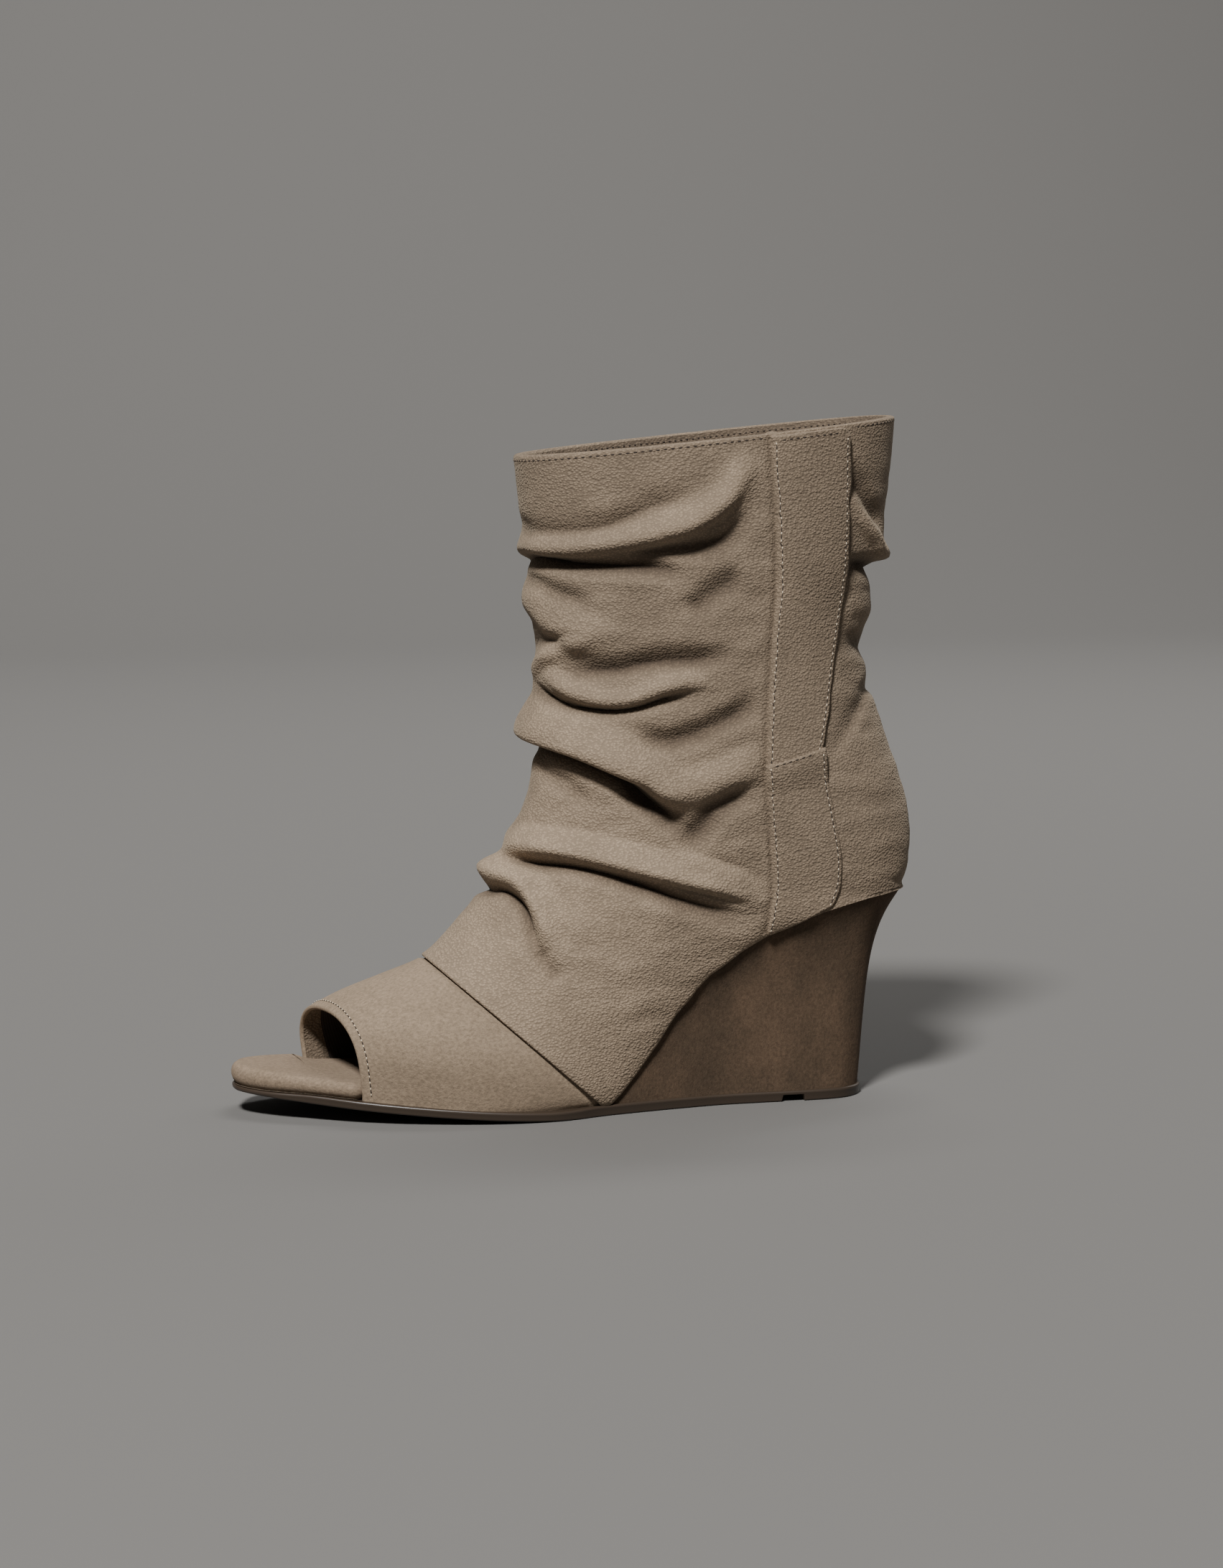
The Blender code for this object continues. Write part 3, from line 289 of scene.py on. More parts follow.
class BootSizes(bpy.types.PropertyGroup):
    """Lengths of the visible details."""
    stitch_pitch: bpy.props.FloatProperty(
        name="Stitch pitch", description="From one stitch to the next", default=0.0025, unit="LENGTH")
    rim_pitch: bpy.props.FloatProperty(
        name="Rim pitch", description="From stitch to stitch round the open toe", default=0.0021, unit="LENGTH")
    stitch_length: bpy.props.FloatProperty(
        name="Stitch length", description="Thread showing in one stitch", default=0.0009, unit="LENGTH")
    thread_width: bpy.props.FloatProperty(
        name="Thread", description="Diameter of the sewing thread", default=0.00044, unit="LENGTH")
    edge_margin: bpy.props.FloatProperty(
        name="Rear margin", description="From a panel's rear edge to its stitches", default=0.0017, unit="LENGTH")
    front_margin: bpy.props.FloatProperty(
        name="Front margin", description="From a panel's front edge to its stitches", default=0.0013,
        unit="LENGTH")
    rim_margin: bpy.props.FloatProperty(
        name="Rim margin", description="From the open toe's edge to its stitches", default=0.0030, unit="LENGTH")
    flap_thick: bpy.props.FloatProperty(
        name="Flap", description="Thickness of the flap and the tab", default=0.0016, unit="LENGTH")
    flap_corner: bpy.props.FloatProperty(
        name="Flap corner", description="Radius of the flap's top rear corner", default=0.0040, unit="LENGTH")
    wrinkle: bpy.props.FloatProperty(
        name="Wrinkles", description="Height of the fine wrinkles between the folds", default=0.00035,
        unit="LENGTH")


class BootColours(bpy.types.PropertyGroup):
    """Colours as sRGB hex values."""
    suede: bpy.props.StringProperty(name="Suede", description="Taupe of the upper", default="8D7C69")
    # Painted shade: the colour the pebbled suede is darkened towards in the troughs of the folds and on the inner
    # facings.
    suede_trough_shade: bpy.props.StringProperty(name="Suede, deep", description="Painted shade in a trough", default="403429")
    suede_worn: bpy.props.StringProperty(name="Suede, worn", description="Nap brushed the other way",
                                         default="7C6C5A")
    wedge_deep: bpy.props.StringProperty(name="Wedge cover, deep", description="Nap of the wedge lying down",
                                         default="45392D")
    wedge: bpy.props.StringProperty(name="Wedge cover", description="Brown nap of the wedge", default="594839")
    insole: bpy.props.StringProperty(name="Footbed", description="Suede of the footbed", default="857463")
    sole: bpy.props.StringProperty(name="Outsole", description="Brown moulded rubber", default="3A3027")
    lining: bpy.props.StringProperty(name="Lining", description="Dark woven lining", default="2E2620")
    thread: bpy.props.StringProperty(name="Thread", description="Beige sewing thread", default="C4B59E")
    hole: bpy.props.StringProperty(name="Needle hole", description="Shade in a needle hole", default="2A211A")
    floor: bpy.props.StringProperty(name="Floor", description="Studio floor and backdrop", default="696764")


def linear(text):
    """Linear colour with alpha for an sRGB hex value."""
    parts = [int(text[place:place + 2], 16) / 255.0 for place in (0, 2, 4)]
    turned = [part / 12.92 if part <= 0.04045 else ((part + 0.055) / 1.055) ** 2.4 for part in parts]
    return (*turned, 1.0)


# Form of the upper

def level(share):
    """Height for a share: up to 1 it follows the heel, from 1 to 2 the shaft."""
    if share <= 1.0:
        return share * HEEL_HEIGHT
    return HEEL_HEIGHT + (share - 1.0) * SHAFT_HEIGHT


def blend(low, high, share):
    """Soft step from 0 to 1 as share goes from low to high."""
    way = np.clip((share - low) / (high - low), 0.0, 1.0)
    return way * way * (3.0 - 2.0 * way)


def curve_through(values, place):
    """Smooth curve through equally spaced values, read at fractional rows."""
    values = np.asarray(values, dtype=float)
    last = len(values) - 1
    place = np.asarray(place, dtype=float)
    row = np.clip(np.floor(place).astype(int), 0, last - 1)
    way = place - row
    if values.ndim > 1:
        way = way[..., None]
    before = values[np.maximum(row - 1, 0)]
    start = values[row]
    stop = values[row + 1]
    after = values[np.minimum(row + 2, last)]
    leave = 0.5 * (stop - before)
    arrive = 0.5 * (after - start)
    square = way * way
    cube = square * way
    return ((2 * cube - 3 * square + 1) * start + (cube - 2 * square + way) * leave
            + (3 * square - 2 * cube) * stop + (cube - square) * arrive)


def spring(x):
    """Underside of the outsole: lifted at the toe, on the floor from the ball back."""
    lifted = np.clip((-x / FOOT_LENGTH - 0.44) / 0.56, 0.0, 1.0)
    return TOE_SPRING * (1.30 * lifted ** 1.55 - 0.30 * lifted ** 3)


def sole_top(x):
    thick = SOLE_TOE + (SOLE_WAIST - SOLE_TOE) * blend(-0.50, -0.40, x / FOOT_LENGTH)
    return spring(x) + thick


def seam_height(x):
    """Line where the upper meets the outsole, and further back the wedge."""
    shares, rises = zip(*SEAM)
    floor = sole_top(x) + GAP
    return floor + np.interp(x / FOOT_LENGTH, shares, rises) * (HEEL_HEIGHT - SOLE_WAIST - GAP)


def section(place):
    """Values of the sections' table at a fractional row, as lengths."""
    rows = []
    for top_x, top_z, end_x, end_z, out, inn, end_out, end_in, fat, crown, cup, skew in SECTIONS:
        end_x = end_x * FOOT_LENGTH
        height = float(seam_height(end_x)) if end_z is None else level(end_z)
        width = BALL_WIDTH if end_z is None else SHAFT_WIDTH
        rows.append((top_x * FOOT_LENGTH, level(top_z), end_x, height, out * width, inn * width,
                     end_out * BALL_WIDTH, end_in * BALL_WIDTH, fat, crown, cup, skew))
    values = curve_through(rows, place)
    if place < CLOSED_ROW:
        values[3] = seam_height(values[2])
    return values


def level_slice(height):
    """Back end, half-width and squareness of the heel or the shaft at heights."""
    rows = SECTIONS[CLOSED_ROW:]
    heights = [level(1.0 if row[3] is None else row[3]) for row in rows]
    reads = np.interp(height, heights, range(len(rows)))
    back, wide, square = [curve_through([row[column] for row in rows], reads) for column in (2, 4, 10)]
    return back * FOOT_LENGTH, wide * SHAFT_WIDTH, square


def quarters(wide, fat, crown, cup):
    """Share along and width across of half a ring, from its top to its end."""
    turn = np.linspace(0.0, math.pi / 2, 90)
    along = fat + (1.0 - fat) * np.cos(turn) ** (2.0 / crown)
    across = wide * np.sin(turn) ** (2.0 / crown)
    drop = fat * (1.0 - np.sin(turn) ** (2.0 / cup))
    taper = np.cos(turn) ** (2.0 / cup)
    return along, across, drop[1:], taper[1:]


def half_ring(values, side, place):
    """One side of a ring from its top to its end, as a fine line."""
    top_x, top_z, end_x, end_z, out, inn, end_out, end_in, fat, crown, cup, skew = values
    far = float(blend(CUP_ROW - 1.0, CUP_ROW, place))
    lines = []
    if far < 1.0:
        wide = out if side < 0 else inn
        end = end_out if side < 0 else end_in
        along, across, drop, taper = quarters(wide, fat, crown, cup)
        lines.append((1.0 - far, np.concatenate([along, drop]),
                      np.concatenate([across, end + (wide - end) * taper])))
    if far > 0.0:
        centre = CUP_CENTRE * FOOT_LENGTH
        fat = (centre - end_x) / (top_x - end_x)
        wide = level_slice(end_z + (top_z - end_z) * fat)[1]
        along, across, drop, taper = quarters(wide, fat, crown, 2.0)
        x = end_x + (top_x - end_x) * drop
        back, wide, square = level_slice(end_z + (top_z - end_z) * drop)
        share = np.clip((x - centre) / (back - centre), 0.0, 1.0)
        lines.append((far, np.concatenate([along, drop]),
                      np.concatenate([across, wide * (1.0 - share ** square) ** (1.0 / square)])))
    along = sum(weight * line for weight, line, _ in lines)
    y = side * sum(weight * line for weight, _, line in lines)
    x = end_x + (top_x - end_x) * along - skew * y
    z = end_z + (top_z - end_z) * along
    return np.stack([x, y, z], axis=1)


def ring(place, columns):
    """A ring of points from the outer end over the top to the inner end."""
    values = section(place)
    halves = []
    for line in (half_ring(values, -1.0, place)[::-1], half_ring(values, 1.0, place)):
        steps = np.linalg.norm(np.diff(line, axis=0), axis=1)
        length = np.concatenate([[0.0], np.cumsum(steps)])
        read = np.linspace(0.0, length[-1], columns // 2 + 1)
        halves.append(np.stack([np.interp(read, length, line[:, axis]) for axis in range(3)], axis=1))
    points = np.concatenate([halves[0][:-1], halves[1]])
    if place < CLOSED_ROW:
        points[0, 2] = seam_height(points[0, 0])
        points[-1, 2] = seam_height(points[-1, 0])
    return points


def facing_of(points, rows):
    """Outward unit normals of a grid that runs from the outer side over the top."""
    along = np.gradient(points, axis=0)
    across = np.gradient(points, axis=1)
    closed = rows >= CLOSED_ROW
    across[closed, 0] = points[closed, 1] - points[closed, -2]
    across[closed, -1] = across[closed, 0]
    facing = np.cross(along, across)
    return facing / np.maximum(np.linalg.norm(facing, axis=2, keepdims=True), 1e-12)


def read_grid(grid, rows, sides, row, side):
    """Points of a grid at fractional rows and sides."""
    row = np.asarray(row, dtype=float)
    side = np.asarray(side, dtype=float)
    step = np.clip(np.searchsorted(rows, row, side="right") - 1, 0, len(rows) - 2)
    column = np.clip(np.searchsorted(sides, side, side="right") - 1, 0, len(sides) - 2)
    down = ((row - rows[step]) / (rows[step + 1] - rows[step]))[..., None]
    over = ((side - sides[column]) / (sides[column + 1] - sides[column]))[..., None]
    first = grid[step, column] * (1.0 - over) + grid[step, column + 1] * over
    second = grid[step + 1, column] * (1.0 - over) + grid[step + 1, column + 1] * over
    return first * (1.0 - down) + second * down


def fold_line(line, count=70):
    """Points of a fold's line as sides and rows, evenly read on a smooth curve."""
    return curve_through(np.array(line), np.linspace(0.0, len(line) - 1.0, count)).T


def panel_lines(edges):
    """Front and rear edge of a panel, each as x and height."""
    lines = []
    for across, tall in ((0, 1), (2, 3)):
        lines.append((np.array([edge[across] for edge in edges]) * FOOT_LENGTH,
                      np.array([level(edge[tall]) for edge in edges])))
    return lines


def calm_under_panels(base):
    """How much of a fold reaches each point, and the groove in front of the flap and the tab."""
    front, rear = [(np.concatenate([flap[0], tab[0]])[::-1], np.concatenate([flap[1], tab[1]])[::-1])
                   for flap, tab in zip(panel_lines(FLAP_EDGES), panel_lines(TAB_EDGES))]
    x, y, z = base[..., 0], base[..., 1], base[..., 2]
    from_front = x - np.interp(z, np.sort(front[1]), front[0])
    from_rear = np.interp(z, np.sort(rear[1]), rear[0]) - x
    inside = blend(-0.0035, 0.0010, from_front) * blend(-0.0012, 0.0012, from_rear)
    groove = np.exp(-((from_front + 0.0006) / 0.0009) ** 2) * (y < 0.0) * (z < level(FLAP_EDGES[0][1]))
    groove *= z > level(TAB_EDGES[-1][1]) + 0.001
    return 1.0 - 0.9 * inside * (y < 0.0), groove


def folded_skin(base, facing, rows, sides, wrinkle):
    """The upper's outer face with its folds, and how far each point was lifted; the groove in front of the flap and
    the tab counts double there, so its painted shade is darker.
    """
    moved = np.zeros_like(base)
    lifted = np.zeros(base.shape[:2])
    for height, above, below, hang, sharp, line in FOLDS:
        side_line, row_line = fold_line(line)
        wrapped = np.where(side_line < -1.0, side_line + 2.0, side_line)
        spine = read_grid(base, rows, sides, row_line, wrapped)
        out = read_grid(facing, rows, sides, row_line, wrapped)
        out /= np.linalg.norm(out, axis=1, keepdims=True)
        along = np.gradient(spine, axis=0)
        along /= np.linalg.norm(along, axis=1, keepdims=True)
        up = np.cross(along, out)
        length = np.concatenate([[0.0], np.cumsum(np.linalg.norm(np.diff(spine, axis=0), axis=1))])
        reach = max(above, below) * MM
        steps = np.nonzero((rows > row_line.min() - 2.0) & (rows < row_line.max() + 2.0))[0]
        low, high = side_line.min() - 0.14, side_line.max() + 0.14
        columns = np.nonzero(((sides > low) & (sides < high)) | ((sides - 2.0 > low) & (sides - 2.0 < high)))[0]
        window = np.ix_(steps, columns)
        points = base[window].reshape(-1, 3)
        close = np.nonzero(np.all((points > spine.min(0) - reach) & (points < spine.max(0) + reach), axis=1))[0]
        if not len(close):
            continue
        points = points[close]
        apart = np.linalg.norm(points[:, None, :] - spine[None], axis=2)
        nearest = np.argmin(apart, axis=1)
        offset = points - spine[nearest]
        slide = np.einsum("ij,ij->i", offset, along[nearest])
        over = np.einsum("ij,ij->i", offset, up[nearest])
        way = np.clip((length[nearest] + slide) / length[-1], 0.0, 1.0)
        flank = np.where(over > 0.0, above, below) * MM
        distance = np.sqrt(over ** 2 + np.where((way <= 0.0) | (way >= 1.0), slide, 0.0) ** 2)
        near = np.clip(distance / flank, 0.0, 1.0)
        roll = 0.5 + 0.5 * np.cos(math.pi * near)
        crease = (1.0 - near) ** 2.2
        fade = blend(0.0, 0.25, way) * blend(0.0, 0.25, 1.0 - way)
        pressed = sharp * fade ** 2
        form = (1.0 - pressed) * roll + pressed * crease
        lift = height * SLOUCH * MM * form * fade
        shift = out[nearest] * lift[:, None] - up[nearest] * (hang * MM * form * fade)[:, None]
        spread = np.zeros((len(steps) * len(columns), 3))
        spread[close] = shift
        moved[window] += spread.reshape(len(steps), len(columns), 3)
        raised = np.zeros(len(steps) * len(columns))
        raised[close] = lift
        lifted[window] += raised.reshape(len(steps), len(columns))
    slack = blend(3.6, 5.2, rows) * blend(0.15, 1.1, COLLAR_ROW - rows)
    for step in np.nonzero(slack > 0.0)[0]:
        for column in range(len(sides)):
            x, y, z = base[step, column]
            ripple = noise.noise(Vector((x * 55.0, y * 55.0, z * 150.0)))
            fine = noise.noise(Vector((x * 120.0 + 7.0, y * 120.0, z * 260.0)))
            height = wrinkle * slack[step] * (1.4 * ripple + 0.6 * fine)
            moved[step, column] += facing[step, column] * height
            lifted[step, column] += height
    calm, groove = calm_under_panels(base)
    moved = moved * calm[..., None] - facing * groove[..., None] * GROOVE_DEPTH
    # The groove counts twice its depth here, to paint its shade darker in the suede's colour.
    lifted = lifted * calm - groove * GROOVE_DEPTH * 2.0
    closed = rows >= CLOSED_ROW
    moved[closed, -1] = moved[closed, 0]
    return base + moved, lifted


class Skin:
    """The upper's outer face on a fine grid, shared by every piece of the upper."""

    def __init__(self, steps, columns, wrinkle):
        self.rows = np.linspace(RIM_ROW, COLLAR_ROW, COLLAR_ROW * steps + 1)
        self.sides = np.linspace(-1.0, 1.0, columns + 1)
        self.base = np.array([ring(place, columns) for place in self.rows])
        self.smooth_cup()
        self.plain_facing = facing_of(self.base, self.rows)
        self.face, self.lifted = folded_skin(self.base, self.plain_facing, self.rows, self.sides, wrinkle)
        for end in (0, -1):
            flat = self.rows <= CLOSED_ROW
            self.face[flat, end] = self.base[flat, end]
        self.facing = facing_of(self.face, self.rows)

        outer = self.sides <= 0.0
        points = self.face[:, outer]
        steps, columns = points.shape[:2]
        corner = np.arange(steps * columns).reshape(steps, columns)
        quads = np.stack([corner[:-1, :-1], corner[1:, :-1], corner[1:, 1:], corner[:-1, 1:]], axis=2)
        self.tree = BVHTree.FromPolygons(points.reshape(-1, 3).tolist(), quads.reshape(-1, 4).tolist())

    def smooth_cup(self):
        """Evens the rings out where they turn into the slices of heel and shaft."""
        soft = self.base.copy()
        for _ in range(60):
            soft[1:-1] = 0.25 * soft[:-2] + 0.5 * soft[1:-1] + 0.25 * soft[2:]
        share = blend(CUP_ROW - 2.0, CUP_ROW - 1.0, self.rows) * blend(CLOSED_ROW + 2.0, CLOSED_ROW + 1.0, self.rows)
        inward = blend(1.0, 0.95, np.abs(self.sides))
        self.base += (soft - self.base) * share[:, None, None] * inward[None, :, None]

    def from_outer_side(self, x, z):
        """Points of the outer face seen square on from the outer side, and their directions."""
        points, facing = [], []
        for across, height in zip(np.ravel(x), np.ravel(z)):
            hit, normal = self.tree.ray_cast(Vector((across, -0.2, height)), Vector((0.0, 1.0, 0.0)))[:2]
            if hit is None:
                hit, normal = self.tree.find_nearest(Vector((across, -0.02, height)))[:2]
            points.append(hit[:])
            facing.append(normal[:] if normal.y < 0.0 else (-normal)[:])
        return np.array(points).reshape(*np.shape(x), 3), np.array(facing).reshape(*np.shape(x), 3)

    def part(self, first, last):
        """Rows between two sections."""
        return (self.rows >= first - 1e-9) & (self.rows <= last + 1e-9)

    def at(self, row, side):
        """Point and outward direction at fractional rows and sides."""
        point = read_grid(self.face, self.rows, self.sides, row, side)
        facing = read_grid(self.facing, self.rows, self.sides, row, side)
        return point, facing / np.linalg.norm(facing, axis=-1, keepdims=True)


made_skins = {}


def boot_skin(wrinkle):
    """The shared skin, made once."""
    if wrinkle not in made_skins:
        made_skins[wrinkle] = Skin(20, 296, wrinkle)
    return made_skins[wrinkle]


# Mesh helpers

def deselect():
    if bpy.context.object and bpy.context.object.mode != "OBJECT":
        bpy.ops.object.mode_set(mode="OBJECT")
    bpy.ops.object.select_all(action="DESELECT")


def sheet_from(name, points, relief_shade=None, joined=False):
    """A grid primitive laid on rows and columns of points, with a UV map in units of 100 mm."""
    deselect()
    rows, columns = points.shape[:2]
    bpy.ops.mesh.primitive_grid_add(x_subdivisions=columns - 1, y_subdivisions=rows - 1, size=1.0)
    thing = bpy.context.object
    thing.name = name
    mesh = thing.data
    mesh.name = name
    mesh.vertices.foreach_set("co", points.reshape(-1).astype(np.float32))
    across = np.linalg.norm(np.diff(points, axis=1), axis=2).mean(axis=0)
    along = np.linalg.norm(np.diff(points, axis=0), axis=2).mean(axis=1)
    u = np.concatenate([[0.0], np.cumsum(across)]) / 0.1
    v = np.concatenate([[0.0], np.cumsum(along)]) / 0.1
    flat = np.stack(np.meshgrid(u, v), axis=2).reshape(-1, 2)
    corners = np.zeros(len(mesh.loops), dtype=np.int32)
    mesh.loops.foreach_get("vertex_index", corners)
    mesh.uv_layers[0].data.foreach_set("uv", flat[corners].reshape(-1).astype(np.float32))
    if relief_shade is not None:
        layer = mesh.attributes.new("relief_shade", "FLOAT", "POINT")
        layer.data.foreach_set("value", relief_shade.reshape(-1).astype(np.float32))
    mesh.update()
    if joined:
        bpy.ops.object.mode_set(mode="EDIT")
        bpy.ops.mesh.select_all(action="SELECT")
        bpy.ops.mesh.remove_doubles(threshold=0.00002)
        bpy.ops.object.mode_set(mode="OBJECT")
    bpy.ops.object.shade_smooth()
    return thing


def flip_faces(thing):
    """Turns every face of a piece the other way."""
    deselect()
    bpy.context.view_layer.objects.active = thing
    thing.select_set(True)
    bpy.ops.object.mode_set(mode="EDIT")
    bpy.ops.mesh.select_all(action="SELECT")
    bpy.ops.mesh.flip_normals()
    bpy.ops.object.mode_set(mode="OBJECT")


def finish_piece(thing, material, slot, *nodes):
    """Gives a piece its material and its place in the frame."""
    thing.data.materials.clear()
    thing.data.materials.append(material)
    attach(thing, "root")
    if nodes:
        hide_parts(*nodes)
    return thing


# Materials

def add_node(tree, kind, settings=None, links=None):
    """A node with its settings, given by name, and its links, given by input."""
    node = tree.nodes.new(kind)
    for name, value in (settings or {}).items():
        if name in node.inputs and not hasattr(node, name):
            node.inputs[name].default_value = value
        else:
            setattr(node, name, value)
    for name, source in (links or {}).items():
        tree.links.new(source, node.inputs[name])
    return node


def new_material(name):
    made = bpy.data.materials.new(name)
    made.use_nodes = True
    return made, made.node_tree, made.node_tree.nodes["Principled BSDF"]


def ramp(tree, factor, stops):
    """A colour ramp between (place, colour) stops."""
    node = add_node(tree, "ShaderNodeValToRGB", links={"Fac": factor})
    node.color_ramp.elements[0].position, node.color_ramp.elements[0].color = stops[0]
    node.color_ramp.elements[1].position, node.color_ramp.elements[1].color = stops[-1]
    for place, colour in stops[1:-1]:
        element = node.color_ramp.elements.new(place)
        element.color = colour
    return node


def pebbled_suede(colours):
    """Faux suede embossed with a fine pebble, brushed: cells of about 0.9 mm, matt, soft rim light. Its colour has
    painted shade in the folds' troughs and between the pebbles, and painted light on the low front.
    """
    made, tree, shader = new_material("pebbled_faux_suede")
    place = add_node(tree, "ShaderNodeTexCoord").outputs["Object"]
    wider = add_node(tree, "ShaderNodeMapping", {"Scale": (1.0, 1.0, 1.3)}, {"Vector": place})
    cells = add_node(tree, "ShaderNodeTexVoronoi", {"feature": "SMOOTH_F1", "Scale": 1050.0, "Smoothness": 0.3},
                     {"Vector": wider.outputs["Vector"]})
    nap = add_node(tree, "ShaderNodeTexNoise", {"Scale": 60.0, "Detail": 4.0, "Roughness": 0.6}, {"Vector": place})
    fibre = add_node(tree, "ShaderNodeTexNoise", {"Scale": 2600.0, "Detail": 2.0, "Roughness": 0.7},
                     {"Vector": place})
    # Painted shade from the folds: the relief attribute darkens the suede towards the trough shade colour in the
    # troughs, less on the flat, and not at all from 0.75 up on the ridges.
    relief_shade = add_node(tree, "ShaderNodeAttribute", {"attribute_name": "relief_shade"})
    deep = ramp(tree, relief_shade.outputs["Fac"], [(0.0, linear(colours.suede_trough_shade)), (0.75, linear(colours.suede))])
    shade = add_node(tree, "ShaderNodeMapRange", {"From Min": 0.3, "From Max": 0.7, "To Min": 0.88, "To Max": 1.10},
                     {"Value": nap.outputs["Fac"]})
    # Painted shade and highlight of the pebble: each cell's top lighter and the lines between darker, from the same
    # cells as the bump.
    pebble_shade = add_node(tree, "ShaderNodeMapRange", {"From Min": 0.0, "From Max": 0.55, "To Min": 1.25, "To Max": 0.72},
                    {"Value": cells.outputs["Distance"]})
    both = add_node(tree, "ShaderNodeMath", {"operation": "MULTIPLY"},
                    {0: shade.outputs["Result"], 1: pebble_shade.outputs["Result"]})
    # Painted light on the low front of the upper: up to 30% lighter where x * 0.8 + z is small, where the panels turn
    # up to the lamp, together with nap worn lighter there.
    axes = add_node(tree, "ShaderNodeSeparateXYZ", links={"Vector": place})
    slope = add_node(tree, "ShaderNodeMath", {"operation": "MULTIPLY_ADD"},
                     {0: axes.outputs["X"], 2: axes.outputs["Z"]})
    slope.inputs[1].default_value = 0.8
    worn = add_node(tree, "ShaderNodeMapRange", {"From Min": 0.0, "From Max": 0.10, "To Min": 1.30, "To Max": 1.0},
                    {"Value": slope.outputs["Value"]})
    lit = add_node(tree, "ShaderNodeMath", {"operation": "MULTIPLY"},
                   {0: both.outputs["Value"], 1: worn.outputs["Result"]})
    tone = add_node(tree, "ShaderNodeVectorMath", {"operation": "SCALE"},
                    {"Vector": deep.outputs["Color"], "Scale": lit.outputs["Value"]})
    tree.links.new(tone.outputs["Vector"], shader.inputs["Base Color"])
    pebble = add_node(tree, "ShaderNodeBump", {"Strength": 1.0, "Distance": 0.00034, "invert": True},
                      {"Height": cells.outputs["Distance"]})
    pile = add_node(tree, "ShaderNodeBump", {"Strength": 0.35, "Distance": 0.00008},
                    {"Height": fibre.outputs["Fac"], "Normal": pebble.outputs["Normal"]})
    tree.links.new(pile.outputs["Normal"], shader.inputs["Normal"])
    shader.inputs["Roughness"].default_value = 0.88
    shader.inputs["Specular IOR Level"].default_value = 0.25
    shader.inputs["Sheen Weight"].default_value = 0.25
    shader.inputs["Sheen Roughness"].default_value = 0.45
    shader.inputs["Sheen Tint"].default_value = linear(colours.thread)
    return made


def napped_suede(name, base, deep, scale, fibre_scale, streak=(1.0, 1.0, 1.0), turn=0.0):
    """Brushed suede with a longer nap: cloudy where the pile lies another way, no gloss."""
    made, tree, shader = new_material(name)
    place = add_node(tree, "ShaderNodeTexCoord").outputs["Object"]
    turned = add_node(tree, "ShaderNodeMapping", {"Scale": streak, "Rotation": (0.0, math.radians(turn), 0.0)},
                      {"Vector": place})
    cloud = add_node(tree, "ShaderNodeTexNoise", {"Scale": scale, "Detail": 6.0, "Roughness": 0.62},
                     {"Vector": turned.outputs["Vector"]})
    fibre = add_node(tree, "ShaderNodeTexNoise", {"Scale": fibre_scale, "Detail": 3.0, "Roughness": 0.75},
                     {"Vector": turned.outputs["Vector"]})
    colour = ramp(tree, cloud.outputs["Fac"], [(0.30, deep), (0.72, base)])
    grain = add_node(tree, "ShaderNodeMapRange", {"From Min": 0.3, "From Max": 0.7, "To Min": 0.70, "To Max": 1.25},
                     {"Value": fibre.outputs["Fac"]})
    tone = add_node(tree, "ShaderNodeVectorMath", {"operation": "SCALE"},
                    {"Vector": colour.outputs["Color"], "Scale": grain.outputs["Result"]})
    tree.links.new(tone.outputs["Vector"], shader.inputs["Base Color"])
    pile = add_node(tree, "ShaderNodeBump", {"Strength": 0.8, "Distance": 0.00025},
                    {"Height": fibre.outputs["Fac"]})
    tree.links.new(pile.outputs["Normal"], shader.inputs["Normal"])
    shader.inputs["Roughness"].default_value = 0.92
    shader.inputs["Specular IOR Level"].default_value = 0.2
    shader.inputs["Sheen Weight"].default_value = 0.3
    shader.inputs["Sheen Roughness"].default_value = 0.5
    shader.inputs["Sheen Tint"].default_value = base
    return made


def moulded_rubber(colours):
    """Moulded rubber outsole: even brown, semi-gloss, faintly uneven from the mould."""
    made, tree, shader = new_material("moulded_rubber_sole")
    place = add_node(tree, "ShaderNodeTexCoord").outputs["Object"]
    uneven = add_node(tree, "ShaderNodeTexNoise", {"Scale": 350.0, "Detail": 3.0}, {"Vector": place})
    bump = add_node(tree, "ShaderNodeBump", {"Strength": 0.15, "Distance": 0.0002},
                    {"Height": uneven.outputs["Fac"]})
    tree.links.new(bump.outputs["Normal"], shader.inputs["Normal"])
    shader.inputs["Base Color"].default_value = linear(colours.sole)
    shader.inputs["Roughness"].default_value = 0.38
    return made


def woven_lining(colours):
    """Textile lining: plain weave drawn at 0.8 mm, dark and matt."""
    made, tree, shader = new_material("woven_lining")
    flat = add_node(tree, "ShaderNodeUVMap").outputs["UV"]
    warp = add_node(tree, "ShaderNodeTexWave", {"bands_direction": "X", "Scale": 39.0}, {"Vector": flat})
    weft = add_node(tree, "ShaderNodeTexWave", {"bands_direction": "Y", "Scale": 39.0}, {"Vector": flat})
    both = add_node(tree, "ShaderNodeMath", {"operation": "MULTIPLY"},
                    {0: warp.outputs["Fac"], 1: weft.outputs["Fac"]})
    dark = linear(colours.lining)
    light = tuple(part * 2.4 for part in dark[:3]) + (1.0,)
    colour = ramp(tree, both.outputs["Value"], [(0.0, dark), (1.0, light)])
    tree.links.new(colour.outputs["Color"], shader.inputs["Base Color"])
    bump = add_node(tree, "ShaderNodeBump", {"Strength": 0.5, "Distance": 0.0002},
                    {"Height": both.outputs["Value"]})
    tree.links.new(bump.outputs["Normal"], shader.inputs["Normal"])
    shader.inputs["Roughness"].default_value = 0.9
    return made


